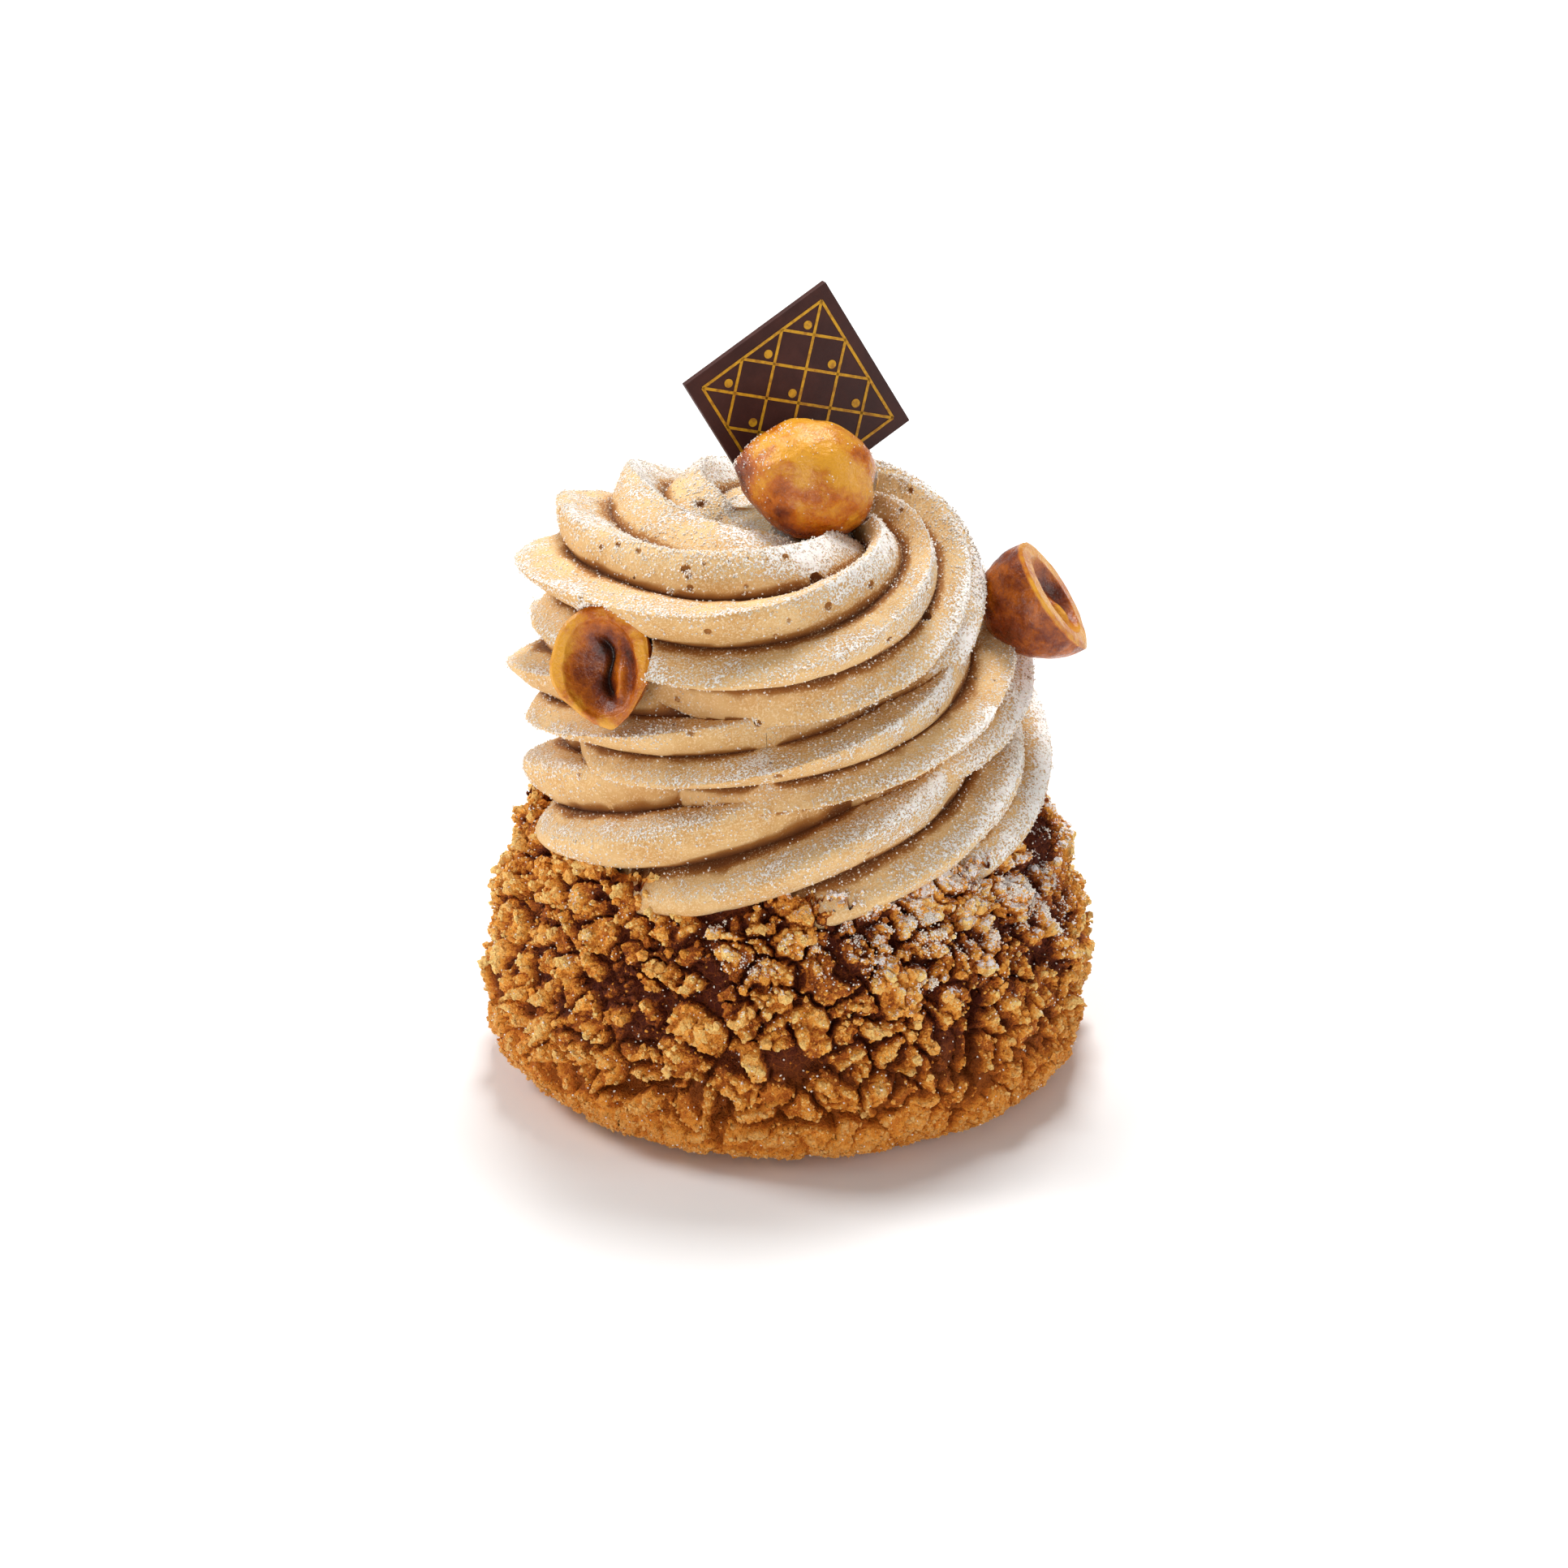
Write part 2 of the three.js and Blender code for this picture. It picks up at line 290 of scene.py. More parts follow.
def skin(name: str, points: np.ndarray, marks: dict[str, np.ndarray] | None = None
         ) -> bpy.types.Object:
    """Stretches a grid over rows of points, and closes its seam and its poles.

    Args:
        name: the new object's name.
        points: millimetres, shape (rows, columns, 3), with the last column on the first.
        marks: numbers for each point, shape (rows, columns), by attribute name.

    Returns:
        The closed object, its faces outwards.
    """
    rows, columns = points.shape[:2]
    bm = bmesh.new()
    bmesh.ops.create_grid(bm, x_segments=columns - 1, y_segments=rows - 1, size=1)
    mesh = bpy.data.meshes.new(name)
    bm.to_mesh(mesh)
    bm.free()
    move_corners(mesh, points.reshape(-1, 3))
    for mark, values in (marks or {}).items():
        write_mark(mesh, mark, values.reshape(-1))
    bm = bmesh.new()
    bm.from_mesh(mesh)
    bmesh.ops.remove_doubles(bm, verts=bm.verts, dist=MERGE_DISTANCE)
    bmesh.ops.recalc_face_normals(bm, faces=bm.faces)
    bm.to_mesh(mesh)
    bm.free()
    return add_object(name, mesh)


def shade_smooth(mesh: bpy.types.Mesh, sharp_degrees: float) -> None:
    """Shades a mesh smooth, apart from edges sharper than an angle.

    Args:
        mesh: the mesh to shade.
        sharp_degrees: the angle.
    """
    mesh.shade_smooth()
    mesh.set_sharp_from_angle(angle=math.radians(sharp_degrees))


def applied(body: bpy.types.Object) -> bpy.types.Object:
    """Applies all modifiers of an object.

    Args:
        body: the object.

    Returns:
        The same object, with its final mesh and no modifier.
    """
    graph = bpy.context.evaluated_depsgraph_get()
    mesh = bpy.data.meshes.new_from_object(body.evaluated_get(graph))
    body.modifiers.clear()
    body.data = mesh
    return body


def combine(body: bpy.types.Object, others: list[bpy.types.Object], joining: Joining
            ) -> bpy.types.Object:
    """Joins closed bodies to one, or cuts them from it, and removes them.

    Args:
        body: the closed body that stays.
        others: the closed bodies that are used up.
        joining: whether they are joined or cut.

    Returns:
        The body.
    """
    for other in others:
        change = body.modifiers.new(joining.name.lower(), "BOOLEAN")
        change.operation = joining.value
        change.solver = "MANIFOLD"
        change.object = other
    applied(body)
    for other in others:
        bpy.data.objects.remove(other)
    return body


def scatter(name: str, unit: bmesh.types.BMesh, count: int) -> tuple[bpy.types.Object, int]:
    """Doubles one small shape until there are enough of it.

    Args:
        name: the new object's name.
        unit: a bmesh that holds one small shape, which is freed.
        count: how many are wanted.

    Returns:
        The object, and how many corners each copy has.
    """
    packed = bpy.data.meshes.new(name)
    unit.to_mesh(packed)
    unit.clear()
    unit.from_mesh(packed)
    bpy.data.meshes.remove(packed)
    sizes = [len(kind) for kind in (unit.verts, unit.edges, unit.faces)]
    have = 1
    while have < count:
        more = min(have, count - have)
        for kind in (unit.verts, unit.edges, unit.faces):
            kind.ensure_lookup_table()
        kinds = zip((unit.verts, unit.edges, unit.faces), sizes)
        chosen = [item for kind, size in kinds for item in kind[: more * size]]
        bmesh.ops.duplicate(unit, geom=chosen)
        have += more
    return bmesh_object(name, unit), sizes[0]


def random_turns(dice: np.random.Generator, count: int) -> np.ndarray:
    """Random rotations.

    Args:
        dice: the seeded source of chance.
        count: how many.

    Returns:
        Rotation matrices, shape (count, 3, 3).
    """
    a, b, c, d = (lambda q: q / np.linalg.norm(q, axis=0))(dice.normal(size=(4, count)))
    rows = [
        [1 - 2 * (c * c + d * d), 2 * (b * c - a * d), 2 * (b * d + a * c)],
        [2 * (b * c + a * d), 1 - 2 * (b * b + d * d), 2 * (c * d - a * b)],
        [2 * (b * d - a * c), 2 * (c * d + a * b), 1 - 2 * (b * b + c * c)],
    ]
    return np.moveaxis(np.array(rows), -1, 0)


def tumbled(dice: np.random.Generator, shape: np.ndarray, size: np.ndarray, squash: tuple
            ) -> np.ndarray:
    """Sizes, squashes and turns each copy of a small shape by chance.

    Args:
        dice: the seeded source of chance.
        shape: the corners of each copy, shape (copies, corners, 3).
        size: each copy's size in millimetres.
        squash: the least and the most that each of its sides is stretched.

    Returns:
        The changed corners, in the same shape.
    """
    count = len(shape)
    sides = size[:, None] * dice.uniform(*squash, (count, 3))
    return np.einsum("nij,nkj->nki", random_turns(dice, count), shape * sides[:, None, :])


def settle(grains: bpy.types.Object, shape: np.ndarray, centre: np.ndarray) -> np.ndarray:
    """Moves each copy to its centre, and keeps it clear of the table.

    Args:
        grains: the object that holds all copies.
        shape: the corners of each copy, shape (copies, corners, 3).
        centre: where each copy goes, in millimetres.

    Returns:
        All corners in millimetres, shape (n, 3).
    """
    points = shape + centre[:, None, :]
    points[..., 2] = np.maximum(points[..., 2], TABLE_CLEARANCE)
    corners = points.reshape(-1, 3)
    move_corners(grains.data, corners)
    return corners


def placement(centre: tuple, axis: tuple, normal: tuple) -> tuple[np.ndarray, np.ndarray]:
    """Places a shape modelled along X, with its flat or front side facing Z.

    Args:
        centre: where its middle goes, in millimetres.
        axis: where its X points, before it is squared up to the normal.
        normal: where its Z points.

    Returns:
        The centre, and the three directions as rows.
    """
    facing = Vector(normal).normalized()
    across = facing.cross(Vector(axis)).normalized()
    along = across.cross(facing)
    return np.array(centre, float), np.array([along, across, facing])


# ------------------------------------------------------------------ finishes


def colour(red: int, green: int, blue: int) -> tuple:
    """Turns a screen colour into the linear one that a shader takes.

    Args:
        red: 0 to 255.
        green: 0 to 255.
        blue: 0 to 255.

    Returns:
        Linear red, green, blue and alpha.
    """
    def linear(part: float) -> float:
        """One channel of the colour, made linear."""
        return part / 12.92 if part <= 0.04045 else ((part + 0.055) / 1.055) ** 2.4

    return (*(linear(part / 255) for part in (red, green, blue)), 1.0)


class Shader:
    """A material's node tree, with short ways to add what this object's finishes need."""

    def __init__(self, name: str) -> None:
        """Starts a material with a surface shader and coordinates in millimetres.

        Args:
            name: the material's name.
        """
        self.material = bpy.data.materials.new(name)
        self.material.use_nodes = True
        self.tree = self.material.node_tree
        self.surface = self.tree.nodes["Principled BSDF"]
        place = self.node("ShaderNodeTexCoord")
        scale = self.node("ShaderNodeMapping")
        scale.inputs["Scale"].default_value = (1 / MM,) * 3
        self.join(place.outputs["Object"], scale.inputs["Vector"])
        self.millimetres = scale.outputs["Vector"]
        rise = self.node("ShaderNodeSeparateXYZ")
        self.join(self.millimetres, rise.inputs["Vector"])
        self.height = rise.outputs["Z"]
        geometry = self.node("ShaderNodeNewGeometry")
        split = self.node("ShaderNodeSeparateXYZ")
        self.join(geometry.outputs["Normal"], split.inputs["Vector"])
        self.upward = split.outputs["Z"]
        self.sideways = split.outputs["X"]

    def node(self, kind: str) -> bpy.types.Node:
        """Adds a node of one kind."""
        return self.tree.nodes.new(kind)

    def join(self, source: bpy.types.NodeSocket, target: bpy.types.NodeSocket) -> None:
        """Links two sockets."""
        self.tree.links.new(source, target)

    def feed(self, target: bpy.types.NodeSocket, value: object) -> None:
        """Links a socket to an input, or sets the input to a plain value.

        Args:
            target: the input.
            value: a socket or a plain value.
        """
        if isinstance(value, bpy.types.NodeSocket):
            self.join(value, target)
        else:
            target.default_value = value

    def math(self, operation: str, first: object, second: object = 0.0
             ) -> bpy.types.NodeSocket:
        """Adds one step of arithmetic.

        Args:
            operation: the Math node's operation.
            first: a socket or a number.
            second: a socket or a number.

        Returns:
            The result's socket.
        """
        step = self.node("ShaderNodeMath")
        step.operation = operation
        self.feed(step.inputs[0], first)
        self.feed(step.inputs[1], second)
        return step.outputs["Value"]

    def total(self, start: float, parts: list) -> bpy.types.NodeSocket:
        """Adds up several values.

        Args:
            start: the number to start from.
            parts: pairs of a socket and how much it counts.

        Returns:
            The sum's socket.
        """
        result = start
        for value, weight in parts:
            part = self.node("ShaderNodeMath")
            part.operation = "MULTIPLY_ADD"
            self.feed(part.inputs[0], value)
            part.inputs[1].default_value = weight
            self.feed(part.inputs[2], result)
            result = part.outputs["Value"]
        return result

    def step(self, value: object, low: float, high: float) -> bpy.types.NodeSocket:
        """A soft step from 0 at low to 1 at high.

        Args:
            value: the socket to read.
            low: where the step starts.
            high: where it ends, which may be below low.

        Returns:
            The result's socket.
        """
        soft = self.node("ShaderNodeMapRange")
        soft.interpolation_type = "SMOOTHSTEP"
        self.feed(soft.inputs["Value"], value)
        soft.inputs["From Min"].default_value = low
        soft.inputs["From Max"].default_value = high
        return soft.outputs["Result"]

    def noise(self, lump: float, detail: float = 3.0, roughness: float = 0.55
              ) -> bpy.types.NodeSocket:
        """Noise of one lump size.

        Args:
            lump: size of a lump in millimetres.
            detail: how many finer layers lie on it.
            roughness: how strong those are.

        Returns:
            The noise's socket, about 0.5 in the middle.
        """
        pattern = self.node("ShaderNodeTexNoise")
        pattern.inputs["Scale"].default_value = 1 / lump
        pattern.inputs["Detail"].default_value = detail
        pattern.inputs["Roughness"].default_value = roughness
        self.join(self.millimetres, pattern.inputs["Vector"])
        return pattern.outputs["Fac"]

    def cells(self, size: float, output: str = "Distance") -> bpy.types.NodeSocket:
        """Cells of one size.

        Args:
            size: size of a cell in millimetres.
            output: which of the cells' outputs.

        Returns:
            The output's socket.
        """
        pattern = self.node("ShaderNodeTexVoronoi")
        pattern.inputs["Scale"].default_value = 1 / size
        self.join(self.millimetres, pattern.inputs["Vector"])
        return pattern.outputs[output]

    def crackle(self, size: float, sway: float) -> bpy.types.NodeSocket:
        """Fine wandering cracks.

        Args:
            size: mean distance between cracks in millimetres.
            sway: how far they wander, as a part of that.

        Returns:
            A socket that is 0 in a crack and rises away from it.
        """
        drift = self.node("ShaderNodeTexNoise")
        drift.inputs["Scale"].default_value = 1.3 / size
        self.join(self.millimetres, drift.inputs["Vector"])
        moved = self.node("ShaderNodeVectorMath")
        moved.operation = "MULTIPLY_ADD"
        self.join(drift.outputs["Color"], moved.inputs[0])
        moved.inputs[1].default_value = (sway * size,) * 3
        self.join(self.millimetres, moved.inputs[2])
        pattern = self.node("ShaderNodeTexVoronoi")
        pattern.feature = "DISTANCE_TO_EDGE"
        pattern.inputs["Scale"].default_value = 1 / size
        self.join(moved.outputs["Vector"], pattern.inputs["Vector"])
        return pattern.outputs["Distance"]

    def specks(self, spacing: float, radius: float, share: float) -> bpy.types.NodeSocket:
        """Small round specks.

        Args:
            spacing: mean distance between places for a speck, in millimetres.
            radius: the largest speck's radius in millimetres.
            share: the part of the places that have one.

        Returns:
            A socket that is 1 on a speck and 0 off it.
        """
        chance = self.node("ShaderNodeSeparateColor")
        self.join(self.cells(spacing, "Color"), chance.inputs["Color"])
        size = self.math("MULTIPLY", chance.outputs["Green"], radius / spacing)
        inside = self.math("LESS_THAN", self.cells(spacing), size)
        chosen = self.math("LESS_THAN", chance.outputs["Red"], share)
        return self.math("MULTIPLY", inside, chosen)

    def mark(self, name: str) -> bpy.types.NodeSocket:
        """Reads one number that the mesh carries.

        Args:
            name: the attribute's name.

        Returns:
            The number's socket.
        """
        reader = self.node("ShaderNodeAttribute")
        reader.attribute_name = name
        return reader.outputs["Fac"]

    def mix(self, share: object, first: object, second: object) -> bpy.types.NodeSocket:
        """Mixes two colours.

        Args:
            share: how much of the second.
            first: a colour or a colour socket.
            second: a colour or a colour socket.

        Returns:
            The mixed colour's socket.
        """
        blend = self.node("ShaderNodeMix")
        blend.data_type = "RGBA"
        self.feed(blend.inputs["Factor"], share)
        self.feed(blend.inputs[6], first)
        self.feed(blend.inputs[7], second)
        return blend.outputs[2]

    def ramp(self, value: object, stops: list) -> bpy.types.NodeSocket:
        """Turns a number into a colour.

        Args:
            value: the socket to read.
            stops: pairs of a place from 0 to 1 and a colour.

        Returns:
            The colour's socket.
        """
        scale = self.node("ShaderNodeValToRGB")
        elements = scale.color_ramp.elements
        while len(elements) < len(stops):
            elements.new(0.5)
        for element, (place, shade) in zip(elements, stops):
            element.position = place
            element.color = shade
        self.feed(scale.inputs["Fac"], value)
        return scale.outputs["Color"]

    def bump(self, layers: list) -> None:
        """Puts fine relief on the surface.

        Args:
            layers: pairs of a height socket and that height's size in millimetres.
        """
        normal = None
        for height, size in layers:
            relief = self.node("ShaderNodeBump")
            relief.inputs["Strength"].default_value = 1.0
            relief.inputs["Distance"].default_value = size * MM
            self.join(height, relief.inputs["Height"])
            if normal is not None:
                self.join(normal, relief.inputs["Normal"])
            normal = relief.outputs["Normal"]
        self.join(normal, self.surface.inputs["Normal"])

    def set(self, **values: object) -> None:
        """Sets inputs of the surface shader.

        Args:
            values: a socket or a plain value for each input, with _ for a space.
        """
        for name, value in values.items():
            self.feed(self.surface.inputs[name.replace("_", " ").strip()], value)


class Finish(Protocol):
    """Anything that makes a material."""

    def material(self) -> bpy.types.Material:
        """Builds the material."""


@dataclass(frozen=True)
class CreamFinish:
    """Whipped praline cream: beige on the crests, golden painted shade in the creases, sugared
    above.
    """

    pale: tuple = colour(225, 184, 126)
    warm: tuple = colour(209, 159, 95)
    # The next two colours are painted shade, laid into the creases by the mark hollow.
    crease_shade: tuple = colour(160, 102, 44)
    depth: tuple = colour(112, 62, 24)
    speck: tuple = colour(92, 52, 28)
    frost: tuple = colour(245, 219, 175)
    sugar: tuple = colour(254, 250, 245)

    def material(self) -> bpy.types.Material:
        """Builds the cream's material.

        Returns:
            The material.
        """
        shader = Shader("praline_cream")
        patches = shader.step(shader.noise(5, 4), 0.35, 0.65)
        body = shader.mix(patches, self.pale, self.warm)
        hollow = shader.mark("hollow")
        # Painted shade: the deeper a crease, the more golden and then dark its colour.
        body = shader.mix(shader.step(hollow, 0.5, 0.74), body, self.crease_shade)
        body = shader.mix(shader.step(hollow, 0.7, 1.0), body, self.depth)
        body = shader.mix(shader.specks(2.2, 0.22, 0.5), body, self.speck)
        grain = shader.noise(0.26, 2, 0.75)
        # Sugar lies on what looks up, on the right side and on the crests; little lies in the
        # creases, so their painted shade stays.
        cover = shader.total(0.1, [
            (shader.step(shader.upward, -0.2, 0.9), 0.4),
            (shader.noise(5, 3), 0.7),
            (shader.noise(1.0, 3, 0.7), 0.5),
            (shader.step(shader.sideways, -0.1, 0.8), 0.38),
            (shader.step(hollow, 0.48, 0.3), 0.16),
            (shader.step(hollow, 0.52, 0.74), -0.5),
        ])
        fine = shader.step(shader.total(-1.42, [(cover, 0.5), (grain, 2.0)]), 0.0, 0.3)
        body = shader.mix(shader.math("MULTIPLY", fine, 0.7), body, self.frost)
        dusted = shader.total(-2.1, [(cover, 1.0), (grain, 1.9)])
        white = shader.step(dusted, 0.06, 0.3)
        icing = shader.mix(shader.step(cover, 0.9, 1.2), self.frost, self.sugar)
        shader.set(
            Base_Color=shader.mix(white, body, icing),
            Roughness=0.78,
            Specular_IOR_Level=0.3,
            Subsurface_Weight=0.12,
            Subsurface_Radius=(0.8, 0.5, 0.3),
            Subsurface_Scale=0.001,
        )
        shader.bump([(grain, 0.06), (white, 0.06), (shader.noise(1.3, 3), 0.15)])
        return shader.material


@dataclass(frozen=True)
class CrustFinish:
    """Baked crumble: golden clumps over dark red-brown choux with painted shade in its cracks,
    sugared on the upper side.
    """

    # The first colour is the choux's red-brown and painted shade, for the lowest places in the
    # cracks.
    deep_brown_and_shade: tuple = colour(84, 28, 6)
    brown: tuple = colour(176, 91, 23)
    golden: tuple = colour(244, 164, 62)
    pale: tuple = colour(255, 219, 138)
    baked: tuple = colour(208, 112, 14)
    sugar: tuple = colour(252, 246, 246)

    def material(self) -> bpy.types.Material:
        """Builds the crust's material.

        Returns:
            The material.
        """
        shader = Shader("crumble_crust")
        lift = shader.mark("lift")
        tone = shader.mark("tone")
        grain = shader.noise(0.5, 3, 0.65)
        speckle = shader.noise(0.28, 2, 0.7)
        # The colour follows the relief mark lift: low places in the cracks go dark, partly the
        # choux and partly painted shade.
        height = shader.total(-0.7, [(lift, 1.0), (grain, 0.5), (tone, 0.3), (speckle, 0.55)])
        body = shader.ramp(height, [
            (0.12, self.deep_brown_and_shade), (0.34, self.brown), (0.58, self.golden), (1.0, self.pale)])
        low = shader.step(shader.height, 17, 3)
        body = shader.mix(shader.math("MULTIPLY", low, 0.45), body, self.baked)
        crackle = shader.crackle(1.1, 0.7)
        lines = shader.math("MULTIPLY", shader.step(crackle, 0.1, 0.0), 0.22)
        body = shader.mix(lines, body, self.brown)
        fallen = shader.total(-1.9, [
            (shader.mark("powder"), 0.6),
            (lift, 0.4),
            (shader.step(shader.upward, -0.3, 0.8), 0.25),
            (shader.noise(1.6, 3, 0.7), 1.3),
            (shader.noise(0.35, 2, 0.7), 0.9),
        ])
        powder = shader.step(fallen, 0.06, 0.18)
        shader.set(
            Base_Color=shader.mix(powder, body, self.sugar),
            Roughness=0.72,
            Specular_IOR_Level=0.22,
        )
        shader.bump([(shader.step(crackle, 0, 0.25), 0.08), (grain, 0.3), (speckle, 0.2)])
        return shader.material


@dataclass(frozen=True)
class NutFinish:
    """Caramelised roast hazelnut: golden, brown in patches, with painted shade below and in its
    hollows, and glossy.
    """

    name: str
    golden: tuple = colour(226, 158, 44)
    amber: tuple = colour(190, 99, 11)
    brown: tuple = colour(118, 46, 6)
    dark: tuple = colour(62, 24, 8)
    scar_and_shade: tuple = colour(40, 18, 12)

    def material(self) -> bpy.types.Material:
        """Builds the nut's material, which reads a mark of roast with painted shade, and a mark
        of the scar and of painted shade in the hollows.

        Returns:
            The material.
        """
        shader = Shader(self.name)
        blister = shader.noise(0.45, 3, 0.7)
        # The roast mark also carries painted shade, so the ramp's darker colours stand partly
        # for shade.
        roast = shader.total(-0.62, [
            (shader.mark("roast_and_shade"), 1.0), (shader.noise(2.2, 4, 0.66), 0.95), (blister, 0.35)])
        body = shader.ramp(roast, [
            (0.1, self.golden), (0.4, self.amber), (0.72, self.brown), (1.0, self.dark)])
        # The darkest colour is the whole nut's scar, and painted shade in the half nuts' slits
        # and bowls.
        body = shader.mix(shader.mark("scar_and_shade"), body, self.scar_and_shade)
        shader.set(
            Base_Color=body,
            Roughness=shader.total(0.02, [(blister, 0.45)]),
            Specular_IOR_Level=0.45,
        )
        shader.bump([(blister, 0.14), (shader.noise(2.2, 2), 0.3)])
        return shader.material


@dataclass(frozen=True)
class ChocolateFinish:
    """Thin dark chocolate, set on a smooth sheet."""

    dark: tuple = colour(58, 25, 19)
    worn: tuple = colour(74, 36, 28)

    def material(self) -> bpy.types.Material:
        """Builds the chocolate's material.

        Returns:
            The material.
        """
        shader = Shader("dark_chocolate")
        cloud = shader.noise(4, 4, 0.6)
        shader.set(
            Base_Color=shader.mix(shader.step(cloud, 0.35, 0.75), self.dark, self.worn),
            Roughness=shader.math("ADD", shader.math("MULTIPLY", cloud, 0.25), 0.4),
            Specular_IOR_Level=0.3,
        )
        shader.bump([(shader.noise(1.2, 3), 0.03), (shader.noise(0.15, 2), 0.01)])
        return shader.material


@dataclass(frozen=True)
class GoldFinish:
    """Gold-yellow cocoa butter print, a little thin in places."""

    bright: tuple = colour(214, 158, 24)
    thin: tuple = colour(168, 112, 24)

    def material(self) -> bpy.types.Material:
        """Builds the print's material.

        Returns:
            The material.
        """
        shader = Shader("gold_print")
        cloud = shader.step(shader.noise(0.8, 3, 0.6), 0.4, 0.7)
        shader.set(
            Base_Color=shader.mix(cloud, self.bright, self.thin),
            Roughness=0.45,
            Metallic=0.25,
        )
        shader.bump([(shader.noise(0.3, 2), 0.02)])
        return shader.material


@dataclass(frozen=True)
class SugarFinish:
    """Fine sugar grains, half clear."""

    white: tuple = colour(250, 248, 246)
    honey: tuple = colour(240, 226, 204)

    def material(self) -> bpy.types.Material:
        """Builds the sugar's material.

        Returns:
            The material.
        """
        shader = Shader("sugar_grains")
        shader.set(
            Base_Color=shader.mix(shader.noise(1.5, 2), self.white, self.honey),
            Roughness=0.4,
        )
        shader.bump([(shader.noise(0.1, 1), 0.02)])
        return shader.material


def dress(piece: bpy.types.Object, finish: Finish | bpy.types.Material, slot: Slot,
          *nodes: str) -> None:
    """Finishes a piece and ties it to the frame.

    Args:
        piece: the finished object.
        finish: the finish, or a material that several pieces share.
        slot: the record's slot for the piece; not used.
        nodes: the CAD nodes that it stands for.
    """
    material = finish if isinstance(finish, bpy.types.Material) else finish.material()
    piece.data.materials.clear()
    piece.data.materials.append(material)
    if nodes:
        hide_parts(*nodes)
    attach(piece, "root")
    log.info("%s: %d faces", piece.name, len(piece.data.polygons))


# ------------------------------------------------------------------ the bun


@dataclass(frozen=True)
class Tear:
    """A tear in the crust, from one place to another, in degrees and millimetres."""

    azimuth: float
    height: float
    end_azimuth: float
    end_height: float
    width: float


# Where the crust tore as it baked. The front ones are read from the photograph.
TEARS = (
    Tear(-104, 3, -101, 9.5, 1.5),
    Tear(-100, 7.5, -73, 6.0, 0.8),
    Tear(-57, 2, -52, 9, 1.5),
    Tear(-52, 9, -50, 18, 1.9),
    Tear(-128, 7, -112, 11, 0.8),
    Tear(-24, 4, -8, 9, 1.2),
    Tear(28, 3, 34, 12, 1.5),
    Tear(72, 6, 96, 9, 1.0),
    Tear(121, 3, 124, 14, 1.6),
    Tear(160, 8, 186, 6, 1.0),
)


@dataclass(frozen=True)
class CrumbKind:
    """One size of crumb, in millimetres.

    A larger skew makes the small ones more common. Two divisions make a rough cluster and
    one a plain crumb. A crumb is paler than the crust under it by the part given.
    """

    name: str
    count: int
    smallest: float
    largest: float
    skew: float
    divisions: int
    paler: float
    seed: int


# From the clusters on the shoulder to the pale dust on every plate.
CRUMBS = (
    CrumbKind("crust_clusters", 2100, 0.3, 0.66, 2.0, 2, 0.04, 21),
    CrumbKind("crust_crumbs", 9900, 0.16, 0.4, 1.4, 1, 0.1, 22),
    CrumbKind("crust_granules", 9900, 0.12, 0.26, 1.0, 1, 0.2, 23),
    CrumbKind("crust_flecks", 7000, 0.1, 0.22, 1.0, 1, 0.32, 24),
)


